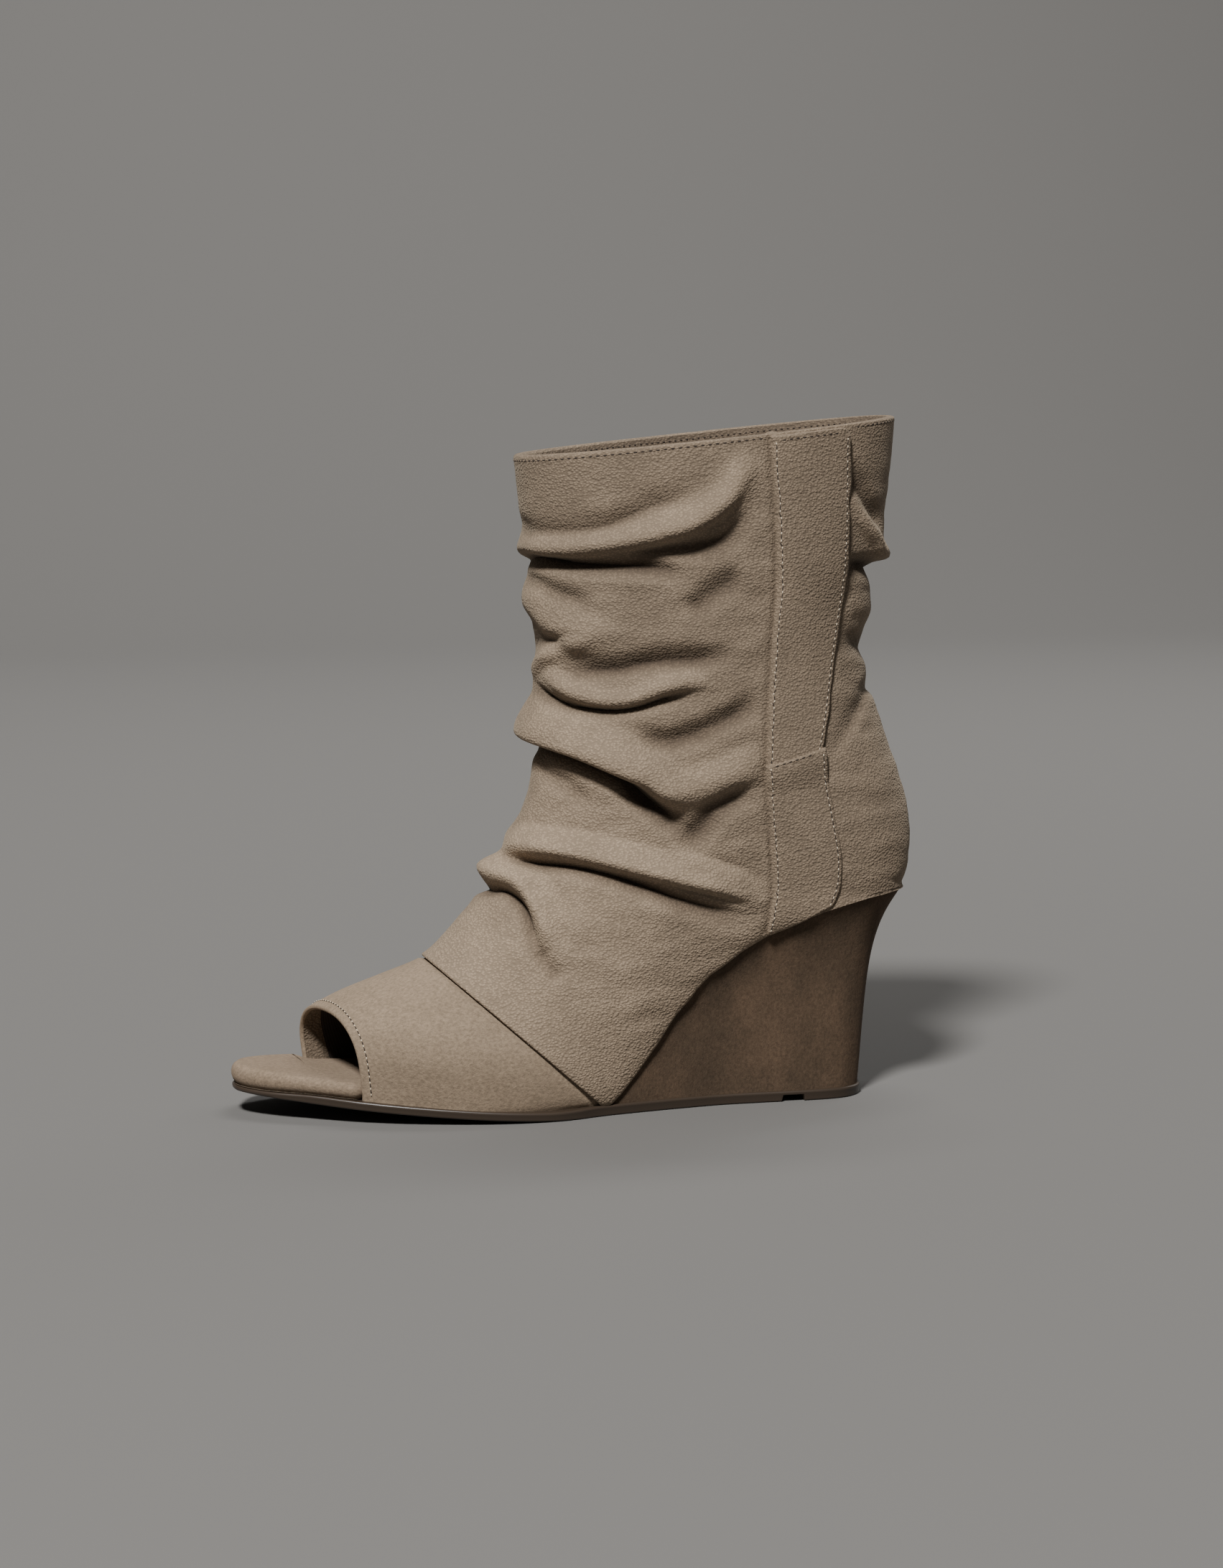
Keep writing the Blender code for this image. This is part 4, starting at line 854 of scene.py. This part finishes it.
def plain_material(name, colour, rough):
    made, tree, shader = new_material(name)
    shader.inputs["Base Color"].default_value = colour
    shader.inputs["Roughness"].default_value = rough
    return made


def shared(key, maker, *values):
    """A material made once and used on several pieces."""
    found = bpy.data.materials.get(key)
    return found if found else maker(*values)


# Pieces

def rounded_edge(points, facing, away, thick, count=5):
    """Rows of points that roll a sheet's edge over from its outer face to its back."""
    turns = np.linspace(0.0, math.pi, count + 2)[1:]
    half = thick / 2.0
    rolled = []
    for turn in turns:
        rolled.append(points - facing * half * (1.0 - math.cos(turn)) + away * half * math.sin(turn))
    return rolled


class BOOT_OT_rear_panels(bpy.types.Operator):
    """Slouched rear panels, from the vamp seam to the rolled collar."""
    bl_idname = "boot.rear_panels"
    bl_label = "Rear panels"

    def execute(self, context):
        sizes = context.scene.boot_sizes
        skin = boot_skin(sizes.wrinkle)
        rows = skin.part(VAMP_ROW, COLLAR_ROW)
        face = skin.face[rows] + skin.facing[rows] * LAP
        facing = skin.facing[rows]
        closed = skin.rows[rows] >= CLOSED_ROW
        for end in (0, -1):
            open_part = ~closed
            face[open_part, end] = skin.base[rows][open_part, end]
            flat = facing[open_part, end] * np.array([1.0, 1.0, 0.0])
            face[open_part, end] += flat / np.linalg.norm(flat, axis=1, keepdims=True) * LAP
            face[open_part, end, 2] = seam_height(face[open_part, end, 0]) - GAP
        face[closed, -1] = face[closed, 0]
        upward = face[-1] - face[-2]
        upward /= np.linalg.norm(upward, axis=1, keepdims=True)
        forward = face[0] - face[1]
        forward /= np.linalg.norm(forward, axis=1, keepdims=True)
        collar = rounded_edge(face[-1], facing[-1], upward, WALL + LAP)
        hem = rounded_edge(face[0], facing[0], forward, LAP * 1.6, 3)
        points = np.concatenate([np.array(hem[::-1]), face, np.array(collar)])
        relief_shade = skin.lifted[rows]
        relief_shade = np.concatenate([np.repeat(relief_shade[:1], len(hem), axis=0), relief_shade,
                                 np.repeat(relief_shade[-1:], len(collar), axis=0)])
        # Lift turned into the shade factor the material reads: 0.62 on the flat and lower in the troughs, which are
        # painted darker as shade.
        relief_shade = np.clip(0.62 + relief_shade / (6.0 * MM), 0.0, 1.0)
        thing = sheet_from("rear_panels", points, relief_shade, joined=True)
        finish_piece(thing, shared("pebbled_faux_suede", pebbled_suede, context.scene.boot_colours),
                     "upper_suede", "upper")
        return {"FINISHED"}


class BOOT_OT_vamp(bpy.types.Operator):
    """Vamp over the toes, with the turned edge of the open toe."""
    bl_idname = "boot.vamp"
    bl_label = "Vamp"

    def execute(self, context):
        sizes = context.scene.boot_sizes
        skin = boot_skin(sizes.wrinkle)
        rows = skin.part(RIM_ROW, VAMP_ROW + 0.15)
        dip = 0.0011 * blend(VAMP_ROW - 0.16, VAMP_ROW - 0.02, skin.rows[rows])
        face = skin.face[rows] - skin.facing[rows] * dip[:, None, None]
        for end in (0, -1):
            face[:, end, 2] = seam_height(face[:, end, 0]) - GAP
        forward = face[0] - face[1]
        forward /= np.linalg.norm(forward, axis=1, keepdims=True)
        rim = rounded_edge(face[0], skin.facing[rows][0], forward, WALL)
        points = np.concatenate([np.array(rim[::-1]), face])
        thing = sheet_from("vamp", points)
        colours = context.scene.boot_colours
        suede = shared("smooth_faux_suede", napped_suede, "smooth_faux_suede", linear(colours.suede),
                       linear(colours.suede_worn), 25.0, 1100.0, (0.7, 1.0, 1.0), -35.0)
        finish_piece(thing, suede, "upper_suede", "upper")
        return {"FINISHED"}


def inner_face(skin):
    """The inside of the wall on every second row and column, evened out near the collar."""
    rows = skin.rows[::2]
    depth = WALL + 0.0008 * blend(0.0, 1.0, rows) * blend(0.0, 1.5, COLLAR_ROW - rows)
    inside = skin.face[::2, ::2] - skin.facing[::2, ::2] * depth[:, None, None]
    closed = rows >= CLOSED_ROW
    for end in (0, -1):
        inside[~closed, end, 2] = seam_height(inside[~closed, end, 0])
    inside[closed, -1] = inside[closed, 0]
    calm = inside.copy()
    for _ in range(14):
        calm[1:-1] = 0.25 * calm[:-2] + 0.5 * calm[1:-1] + 0.25 * calm[2:]
        calm[:, 1:-1] = 0.25 * calm[:, :-2] + 0.5 * calm[:, 1:-1] + 0.25 * calm[:, 2:]
    share = blend(16.6, 17.4, rows) * (rows < COLLAR_ROW)
    return rows, inside + (calm - inside) * share[:, None, None]


class BOOT_OT_lining(bpy.types.Operator):
    """Textile lining inside the whole upper."""
    bl_idname = "boot.lining"
    bl_label = "Lining"

    def execute(self, context):
        rows, inside = inner_face(boot_skin(context.scene.boot_sizes.wrinkle))
        low, top = [int(np.searchsorted(rows, row)) for row in (TOE_FACING_ROW, FACING_ROW)]
        colours = context.scene.boot_colours
        lining = shared("woven_lining", woven_lining, colours)
        suede = shared("pebbled_faux_suede", pebbled_suede, colours)
        for name, sheet, material in (("toe_facing", inside[:low + 1], suede), ("lining", inside[low:top + 1], lining),
                                      ("collar_facing", inside[top:], suede)):
            # The suede facings get 0.35 in the relief attribute, painted darker as shade inside the boot; the woven
            # lining does not read it.
            thing = sheet_from(name, sheet, np.full(sheet.shape[:2], 0.35), joined=True)
            flip_faces(thing)
            finish_piece(thing, material, "upper_suede", "upper")
        return {"FINISHED"}


def panel_grid(skin, edges, down, across, corner=0.0):
    """Points and directions of a panel sewn on the outer face, with a rounded top rear corner."""
    reads = np.linspace(0.0, len(edges) - 1.0, down + 1)
    front, rear = [np.stack([curve_through(line, reads) for line in lines], axis=1)
                   for lines in panel_lines(edges)]
    if corner > 0.0:
        steps = np.linalg.norm(np.diff(rear, axis=0), axis=1)
        fallen = np.clip(1.0 - np.concatenate([[0.0], np.cumsum(steps)]) / corner, 0.0, 1.0)
        inset = corner * (1.0 - np.sqrt(1.0 - fallen ** 2)) / np.linalg.norm(rear - front, axis=1)
        rear = rear + (front - rear) * inset[:, None]
    share = np.linspace(0.0, 1.0, across + 1)[None, :, None]
    flat = front[:, None] + (rear - front)[:, None] * share
    point = skin.from_outer_side(flat[..., 0], flat[..., 1])[0]
    facing = np.cross(np.gradient(point, axis=0), np.gradient(point, axis=1))
    facing /= np.linalg.norm(facing, axis=2, keepdims=True)
    return point, facing * np.where(facing[..., 1:2] > 0.0, -1.0, 1.0)


def tab_thickness(thick, share):
    """The tab lies over the flap's end at its top and is thin further down."""
    return thick * (TAB_THINNED + (TAB_OVER - TAB_THINNED) * blend(0.22, 0.06, share))


def sewn_panel(name, skin, edges, down, across, thick, corner=0.0):
    """A panel lying on the rear panels: flush at its front seam, turned over at its other edges."""
    point, facing = panel_grid(skin, edges, down, across, corner)
    point = point + facing * LAP
    down_way = np.linalg.norm(np.gradient(point, axis=0), axis=2)
    across_way = np.linalg.norm(np.gradient(point, axis=1), axis=2)
    from_front = np.cumsum(across_way, axis=1) - across_way
    from_rear = across_way.sum(axis=1, keepdims=True) - from_front - across_way
    from_top = np.cumsum(down_way, axis=0) - down_way
    from_foot = down_way.sum(axis=0, keepdims=True) - from_top - down_way
    nearest = np.minimum(from_rear, np.minimum(from_top, from_foot))
    edge = np.clip(nearest / (0.9 * MM), 0.0, 1.0)
    seam = np.clip(from_front / (1.8 * MM), 0.0, 1.0)
    height = np.reshape(thick, (-1, 1)) * np.sqrt(1.0 - (1.0 - edge) ** 2)
    height = height * (0.05 + 0.95 * np.sqrt(1.0 - (1.0 - seam) ** 2))
    height -= 0.0006 * (1.0 - seam) ** 2
    return sheet_from(name, point + facing * height[..., None], np.full(point.shape[:2], 0.62))


class BOOT_OT_zip_flap(bpy.types.Operator):
    """Cover flap over the hidden zip, and the short tab below it."""
    bl_idname = "boot.zip_flap"
    bl_label = "Zip flap and tab"

    def execute(self, context):
        sizes = context.scene.boot_sizes
        skin = boot_skin(sizes.wrinkle)
        suede = shared("pebbled_faux_suede", pebbled_suede, context.scene.boot_colours)
        flap = sewn_panel("zip_flap_cover", skin, FLAP_EDGES, 260, 56, sizes.flap_thick, sizes.flap_corner)
        flip_faces(flap)
        finish_piece(flap, suede, "upper_suede", "zip_flap")
        thick = tab_thickness(sizes.flap_thick, np.linspace(0.0, 1.0, 141))
        tab = sewn_panel("lower_tab_cover", skin, TAB_EDGES, 140, 50, thick)
        flip_faces(tab)
        finish_piece(tab, suede, "upper_suede", "lower_tab")
        return {"FINISHED"}


def outline_chain(column, count):
    """Outline of the sole on one side, from the tip to the back, as x and half-width."""
    reads = np.linspace(0.0, len(OUTLINE) - 1.0, count)
    table = curve_through(np.array(OUTLINE), reads)
    return table[:, 0] * FOOT_LENGTH, table[:, column] * BALL_WIDTH


def evenly(x, y, count):
    """The same line with evenly spaced points."""
    length = np.concatenate([[0.0], np.cumsum(np.hypot(np.diff(x), np.diff(y)))])
    read = np.linspace(0.0, length[-1], count)
    return np.interp(read, length, x), np.interp(read, length, y)


def inset_loop(x, y, distance):
    """A closed outline moved inwards by a distance."""
    dx = np.roll(x, -1) - np.roll(x, 1)
    dy = np.roll(y, -1) - np.roll(y, 1)
    size = np.maximum(np.hypot(dx, dy), 1e-9)
    return x - distance * dy / size, y + distance * dx / size


def layered_sole(name, x, y, low, high, profile):
    """A sole from a closed outline and a profile of (inset, share of height, extra height) steps."""
    steps = [(inset, share, extra, 0.0) for inset, share, extra in profile]
    shares = (0.35, 0.7, 1.0)
    steps = ([(*profile[0], middle) for middle in shares[::-1]] + steps
             + [(*profile[-1], middle) for middle in shares])
    rings = []
    for inset, share, extra, middle in steps:
        px, py = inset_loop(x, y, inset)
        across_x, across_y = np.roll(px[::-1], 1), np.roll(py[::-1], 1)
        px = px + (across_x - px) * middle / 2.0
        py = py + (across_y - py) * middle / 2.0
        base = low(px)
        rings.append(np.stack([px, py, base + (high(px) - base) * share + extra], axis=1))
    points = np.array(rings)
    points = np.concatenate([points, points[:, :1]], axis=1)
    thing = sheet_from(name, points, joined=True)
    deselect()
    bpy.context.view_layer.objects.active = thing
    thing.select_set(True)
    bpy.ops.object.mode_set(mode="EDIT")
    bpy.ops.mesh.select_all(action="SELECT")
    bpy.ops.mesh.normals_make_consistent(inside=False)
    bpy.ops.object.mode_set(mode="OBJECT")
    return thing


def sole_loop(count):
    """Closed outline of the outsole, outer side from tip to back, inner side back again."""
    outer_x, outer_y = outline_chain(1, 900)
    inner_x, inner_y = outline_chain(2, 900)
    x = np.concatenate([outer_x, inner_x[::-1]])
    y = np.concatenate([-outer_y, inner_y[::-1]])
    x, y = evenly(x, y, count + 1)
    return x[:-1], y[:-1]


def thinned(x):
    """How much thinner than its block the outsole is at its tip; the footbed fills it."""
    return TIP_THINNED * blend(-0.86, -0.98, x / FOOT_LENGTH)


class BOOT_OT_outsole(bpy.types.Operator):
    """Moulded outsole with toe spring, a rounded lip and one slot across its underside."""
    bl_idname = "boot.outsole"
    bl_label = "Outsole"

    def execute(self, context):
        x, y = sole_loop(900)
        bare = blend(-0.80, -0.90, x / FOOT_LENGTH)
        inner_x, inner_y = inset_loop(x, y, 0.0012)
        x, y = x + (inner_x - x) * bare, y + (inner_y - y) * bare

        def low(place):
            in_slot = (place > SLOT_FRONT) & (place < SLOT_BACK)
            return np.where(in_slot, SLOT_DEPTH, spring(place))

        def high(place):
            return sole_top(place) - thinned(place)

        profile = [(0.0030, 0.0, 0.0), (0.0008, 0.0, 0.0), (0.00035, 0.0, 0.00012), (0.0001, 0.0, 0.00035),
                   (0.0, 0.0, 0.0007), (0.0, 1.0, -0.0013), (-0.00015, 1.0, -0.0010), (-0.00018, 1.0, -0.0006),
                   (-0.00005, 1.0, -0.0002), (0.0003, 1.0, 0.0), (0.0008, 1.0, 0.0), (0.0030, 1.0, 0.0)]
        thing = layered_sole("moulded_outsole", x, y, low, high, profile)
        bpy.ops.object.shade_smooth_by_angle(angle=math.radians(50))
        finish_piece(thing, shared("moulded_rubber_sole", moulded_rubber, context.scene.boot_colours),
                     "outsole", "outsole")
        return {"FINISHED"}


class BOOT_OT_footbed(bpy.types.Operator):
    """Suede footbed, thick and rounded at the open toe."""
    bl_idname = "boot.footbed"
    bl_label = "Footbed"

    def execute(self, context):
        skin = boot_skin(context.scene.boot_sizes.wrinkle)
        x, y = sole_loop(700)
        x, y = inset_loop(x, y, 0.0007)
        inner = skin.rows <= CLOSED_ROW
        for end, sign in ((0, -1.0), (-1, 1.0)):
            edge = skin.base[inner, end]
            side = (y * sign > 0.0)
            room = np.interp(x[side], edge[:, 0], np.abs(edge[:, 1])) - WALL - 0.0006
            under = blend(edge[0, 0] - 0.004, edge[0, 0] + 0.002, x[side])
            limited = np.minimum(np.abs(y[side]), room)
            y[side] = sign * (np.abs(y[side]) * (1.0 - under) + limited * under)
        x, y = evenly(np.append(x, x[0]), np.append(y, y[0]), 701)
        x, y = x[:-1], y[:-1]

        def low(place):
            return seam_height(place) - thinned(place)

        def high(place):
            thick = INSOLE_TOE + (INSOLE_HEEL - INSOLE_TOE) * blend(-0.80, -0.55, place / FOOT_LENGTH)
            return seam_height(place) + thick

        profile = [(0.004, 0.0, 0.0), (0.0010, 0.0, 0.0)]
        for step in range(9):
            turn = math.radians(-80.0 + 170.0 * step / 8.0)
            profile.append((0.0026 * (1.0 - math.cos(turn)), 0.5 + 0.5 * math.sin(turn), 0.0))
        thing = layered_sole("suede_footbed", x, y, low, high, profile)
        colours = context.scene.boot_colours
        suede = shared("footbed_suede", napped_suede, "footbed_suede", linear(colours.insole),
                       linear(colours.suede_worn), 40.0, 1100.0, (0.7, 1.0, 1.0), -35.0)
        finish_piece(thing, suede, "insole_cover", "insole")
        return {"FINISHED"}


class BOOT_OT_wedge(bpy.types.Operator):
    """Suede-covered wedge, hollow at the back, between the outsole and the upper's edge."""
    bl_idname = "boot.wedge"
    bl_label = "Covered wedge"

    def execute(self, context):
        skin = boot_skin(context.scene.boot_sizes.wrinkle)
        count, levels = 220, 64
        chains = []
        for side, column, end in ((-1.0, 1, 0), (1.0, 2, -1)):
            edge = skin.base[skin.rows <= CLOSED_ROW, end]
            keep = edge[:, 0] >= WEDGE_FRONT * FOOT_LENGTH
            top_x, top_y = evenly(edge[keep, 0], np.abs(edge[keep, 1]), count)
            low_x, low_y = outline_chain(column, 2000)
            keep = low_x >= top_x[0]
            low_x, low_y = evenly(low_x[keep], low_y[keep], count)
            chains.append((np.stack([low_x - 0.0005, side * np.maximum(low_y - 0.0007, 0.0)], axis=1),
                           np.stack([top_x, side * (top_y + LAP * blend(0.0, 0.08, np.linspace(1, 0, count)))],
                                    axis=1)))
            chains[-1][1][:, 0] += LAP * blend(0.85, 1.0, np.linspace(0, 1, count))
        grid = []
        for step in range(levels + 1):
            rise = step / levels
            flare = WEDGE_LEAN * rise + (1.0 - WEDGE_LEAN) * rise ** WEDGE_CURVE
            line = []
            for low, top in chains:
                flat = low + (top - low) * flare
                z = SOLE_WAIST + (seam_height(top[:, 0]) - GAP - SOLE_WAIST) * rise
                line.append(np.column_stack([flat, z]))
            grid.append(np.concatenate([line[0], line[1][::-1][1:]]))
        grid = np.array(grid)
        facing = np.cross(np.gradient(grid, axis=1), np.gradient(grid, axis=0))
        facing /= np.maximum(np.linalg.norm(facing, axis=2, keepdims=True), 1e-12)
        tall = grid[-1, :, 2] - grid[0, :, 2]
        below_seam = tall[None, :] * (1.0 - np.linspace(0.0, 1.0, levels + 1)[:, None])
        tuck = 0.0007 * np.exp(-below_seam / 0.0012)
        grid = grid - facing * tuck[..., None]
        thing = sheet_from("covered_wedge", grid)
        colours = context.scene.boot_colours
        suede = shared("long_nap_suede", napped_suede, "long_nap_suede", linear(colours.wedge),
                       linear(colours.wedge_deep), 70.0, 1100.0, (1.0, 1.0, 0.7))
        finish_piece(thing, suede, "wedge_cover", "wedge_heel")
        return {"FINISHED"}


def beads_along(name, lines, pitch, shift, length, width, rise, material):
    """Small rounded beads along lines of (points, facing), all in one mesh: thread, or dark beads painted as the shade
    in needle holes.
    """
    deselect()
    bpy.ops.mesh.primitive_uv_sphere_add(segments=8, ring_count=6, radius=1.0)
    pattern = bpy.context.object
    shape = np.array([vertex.co[:] for vertex in pattern.data.vertices])
    faces = [list(face.vertices) for face in pattern.data.polygons]
    bpy.data.objects.remove(pattern, do_unlink=True)
    size = np.array([length / 2.0, width / 2.0, rise])
    verts, polygons = [], []
    for points, facing in lines:
        steps = np.linalg.norm(np.diff(points, axis=0), axis=1)
        travel = np.concatenate([[0.0], np.cumsum(steps)])
        for place in np.arange(pitch * (0.5 + shift), travel[-1] - length, pitch):
            centre, ahead, out = [np.array([np.interp(read, travel, line[:, axis]) for axis in range(3)])
                                  for read, line in ((place, points), (place + pitch / 4.0, points),
                                                     (place, facing))]
            out /= np.linalg.norm(out)
            along = ahead - centre
            along -= out * np.dot(along, out)
            along /= max(np.linalg.norm(along), 1e-9)
            turn = np.stack([along, np.cross(out, along), out])
            start = len(verts)
            verts.extend(centre + (shape * size) @ turn)
            polygons.extend([[start + corner for corner in face] for face in faces])
    mesh = bpy.data.meshes.new(name)
    mesh.from_pydata([tuple(map(float, point)) for point in verts], [], polygons)
    mesh.shade_smooth()
    thing = bpy.data.objects.new(name, mesh)
    bpy.context.scene.collection.objects.link(thing)
    return finish_piece(thing, material, "upper_suede")


def line_on(skin, rows, sides, lift):
    """A line on the outer face as points and directions."""
    point, facing = skin.at(np.asarray(rows, dtype=float), np.asarray(sides, dtype=float))
    return point + facing * lift, facing


def panel_edge_line(skin, edges, share, inset, lift, first=0.0, last=1.0):
    """A line down a panel, inset from its front (share 0) or rear edge (share 1)."""
    reads = np.linspace(first, last, 160) * (len(edges) - 1.0)
    front, rear = [np.stack([curve_through(line, reads) for line in lines], axis=1)
                   for lines in panel_lines(edges)]
    near, other = (front, rear) if share == 0 else (rear, front)
    way = (other - near) / np.linalg.norm(other - near, axis=1, keepdims=True)
    line = near + way * inset
    point, facing = skin.from_outer_side(line[:, 0], line[:, 1])
    return point + facing * np.reshape(lift, (-1, 1)), facing


def panel_top_line(skin, edges, inset, lift):
    """A line across a panel, inset from its top edge."""
    (front_x, front_z), (rear_x, rear_z) = panel_lines(edges)
    share = np.linspace(0.06, 0.87, 80)
    x = front_x[0] + (rear_x[0] - front_x[0]) * share
    z = front_z[0] + (rear_z[0] - front_z[0]) * share - inset
    point, facing = skin.from_outer_side(x, z)
    return point + facing * lift, facing


class BOOT_OT_stitching(bpy.types.Operator):
    """Rows of stitches on the open toe, the flap, the tab and the collar."""
    bl_idname = "boot.stitching"
    bl_label = "Stitching"

    def execute(self, context):
        sizes = context.scene.boot_sizes
        skin = boot_skin(sizes.wrinkle)
        colours = context.scene.boot_colours
        thread = shared("sewing_thread", plain_material, "sewing_thread", linear(colours.thread), 0.7)
        dull = shared("taupe_thread", plain_material, "taupe_thread", linear(colours.suede_worn), 0.8)
        sides = np.linspace(-0.985, 0.985, 400)
        point, _ = skin.at(np.zeros(400), sides)
        beyond, _ = skin.at(np.full(400, 0.5), sides)
        share = sizes.rim_margin / np.linalg.norm(beyond - point, axis=1) * 0.5
        rim = [line_on(skin, share, sides, 0.00016)]
        lines = []
        on_panel = LAP + sizes.flap_thick
        on_tab = LAP + sizes.flap_thick * TAB_OVER
        on_tab_front, on_tab_rear = [LAP + tab_thickness(sizes.flap_thick, np.linspace(first, 0.99, 160))
                                     for first in (0.02, 0.03)]
        for edges, front, rear in ((FLAP_EDGES, on_panel, on_panel), (TAB_EDGES, on_tab_front, on_tab_rear)):
            lines.append(panel_edge_line(skin, edges, 0, sizes.front_margin, front - 0.00005, 0.02, 0.99))
            lines.append(panel_edge_line(skin, edges, 1, sizes.edge_margin, rear, 0.03, 0.99))
        pitch = sizes.stitch_pitch
        beads_along("rim_stitches", rim, sizes.rim_pitch, 0.0, sizes.stitch_length, sizes.thread_width,
                    sizes.thread_width * 0.5, thread)
        beads_along("light_stitches", lines, pitch, 0.0, sizes.stitch_length, sizes.thread_width,
                    sizes.thread_width * 0.5, thread)
        # Needle holes, here and below: dark beads painted as the shade in each hole.
        holes = shared("needle_holes", plain_material, "needle_holes", linear(colours.hole), 0.9)
        beads_along("needle_holes", lines, pitch, 0.5, pitch - sizes.stitch_length, sizes.thread_width,
                    0.00006, holes)
        beads_along("rim_holes", rim, sizes.rim_pitch, 0.5, sizes.rim_pitch - sizes.stitch_length,
                    sizes.thread_width, 0.00006, holes)
        collar = []
        for first, last, count in ((-0.575, 0.995, 500), (-0.995, -0.775, 60)):
            collar.append(line_on(skin, np.full(count, COLLAR_STITCH_ROW), np.linspace(first, last, count), LAP))
        collar.append(panel_top_line(skin, FLAP_EDGES, sizes.edge_margin, on_panel))
        collar.append(panel_top_line(skin, TAB_EDGES, sizes.edge_margin * 0.6, on_tab))
        beads_along("collar_stitches", collar, pitch, 0.0, pitch * 0.45, sizes.thread_width,
                    sizes.thread_width * 0.35, dull)
        beads_along("collar_holes", collar, pitch, 0.5, pitch * 0.55, sizes.thread_width * 1.2, 0.00012, holes)
        inside = []
        rows, inner = inner_face(skin)
        for row in FACING_STITCH_ROWS:
            step = int(np.argmin(np.abs(rows - row)))
            facing = -skin.facing[::2, ::2][step]
            inside.append((inner[step] + facing * 0.00005, facing))
        beads_along("facing_holes", inside, sizes.rim_pitch, 0.0, sizes.stitch_length, sizes.thread_width,
                    0.00016, holes)
        return {"FINISHED"}


class BOOT_OT_studio(bpy.types.Operator):
    """Plain floor that sweeps up behind, soft lights, and the camera at the photograph's angle."""
    bl_idname = "boot.studio"
    bl_label = "Studio"

    def execute(self, context):
        deselect()
        bpy.ops.mesh.primitive_plane_add(size=1.0)
        floor = bpy.context.object
        floor.name = "studio_sweep"
        bpy.ops.object.mode_set(mode="EDIT")
        bpy.ops.mesh.select_all(action="SELECT")
        bpy.ops.transform.resize(value=(24.0, 14.0, 1.0))
        bpy.ops.transform.translate(value=(0.0, -5.0, 0.0))
        bpy.ops.mesh.select_all(action="DESELECT")
        bpy.ops.object.mode_set(mode="OBJECT")
        for edge in floor.data.edges:
            edge.select = all(floor.data.vertices[corner].co.y > 1.0 for corner in edge.vertices)
        bpy.ops.object.mode_set(mode="EDIT")
        bpy.ops.mesh.select_mode(type="EDGE")
        bpy.ops.mesh.spin(steps=24, angle=math.radians(-80.0), center=(0.0, 2.0, 1.5), axis=(1.0, 0.0, 0.0))
        bpy.ops.mesh.extrude_region_move(TRANSFORM_OT_translate={"value": (0.0, 0.5, 3.0)})
        bpy.ops.object.mode_set(mode="OBJECT")
        bpy.ops.object.shade_smooth()
        floor.data.materials.append(plain_material("studio_paper", linear(context.scene.boot_colours.floor), 0.95))
        world = bpy.data.worlds.new("studio_air")
        context.scene.world = world
        world.use_nodes = True
        world.node_tree.nodes["Background"].inputs["Color"].default_value = linear("C4C3C1")
        world.node_tree.nodes["Background"].inputs["Strength"].default_value = 0.035
        middle = Vector((-0.06, 0.0, 0.10))
        behind = Vector((0.0, 3.3, 1.0))
        for name, place, size, power in (
                ("key_softbox", (-1.20, -2.02, 2.62), 0.58, 202.0),
                ("low_fill", (-0.3, -1.6, 0.45), 0.8, 0.5),
                ("side_fill", (1.3, -1.2, 0.9), 1.2, 0.9),
                ("rear_fill", (1.6, 1.0, 1.2), 1.3, 7.0),
                ("backdrop_light", (0.5, 0.9, 2.6), 1.5, 95.0)):
            deselect()
            bpy.ops.object.light_add(type="AREA", location=place)
            light = bpy.context.object
            light.name = name
            light.data.shape = "DISK"
            light.data.size = size
            light.data.energy = power
            light.visible_camera = False
            aim = behind if name == "backdrop_light" else middle
            light.rotation_euler = (aim - Vector(place)).to_track_quat("-Z", "Y").to_euler()
        deselect()
        bpy.ops.object.camera_add(location=(-0.3595, -1.1819, 0.24765),
                                  rotation=(math.radians(90.0 - 6.5217), 0.0, math.radians(-13.79993)))
        camera = bpy.context.object
        camera.name = "photo_camera"
        camera.data.sensor_width = 36.0
        camera.data.lens = 82.42
        camera.data.clip_start = 0.01
        context.scene.camera = camera
        return {"FINISHED"}


class BOOT_PT_panel(bpy.types.Panel):
    """Lists the boot's pieces."""
    bl_label = "Slouchy Boot"
    bl_idname = "BOOT_PT_panel"
    bl_space_type = "VIEW_3D"
    bl_region_type = "UI"
    bl_category = "Boot"

    def draw(self, context):
        layout = self.layout
        for operator in OPERATORS:
            layout.operator(operator.bl_idname)
        for group in (context.scene.boot_sizes, context.scene.boot_colours):
            for name in group.bl_rna.properties.keys():
                if name not in {"rna_type", "name"}:
                    layout.prop(group, name)


OPERATORS = (BOOT_OT_rear_panels, BOOT_OT_vamp, BOOT_OT_lining, BOOT_OT_zip_flap, BOOT_OT_wedge,
             BOOT_OT_outsole, BOOT_OT_footbed, BOOT_OT_stitching, BOOT_OT_studio)
CLASSES = (BootSizes, BootColours, *OPERATORS, BOOT_PT_panel)


def register():
    for kind in CLASSES:
        bpy.utils.register_class(kind)
    bpy.types.Scene.boot_sizes = bpy.props.PointerProperty(type=BootSizes)
    bpy.types.Scene.boot_colours = bpy.props.PointerProperty(type=BootColours)


def unregister():
    del bpy.types.Scene.boot_sizes
    del bpy.types.Scene.boot_colours
    for kind in reversed(CLASSES):
        bpy.utils.unregister_class(kind)


def main():
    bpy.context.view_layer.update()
    register()
    bpy.ops.boot.rear_panels()
    bpy.ops.boot.vamp()
    bpy.ops.boot.lining()
    bpy.ops.boot.zip_flap()
    bpy.ops.boot.wedge()
    bpy.ops.boot.outsole()
    bpy.ops.boot.footbed()
    bpy.ops.boot.stitching()
    bpy.ops.boot.studio()


if __name__ == "__main__":
    main()
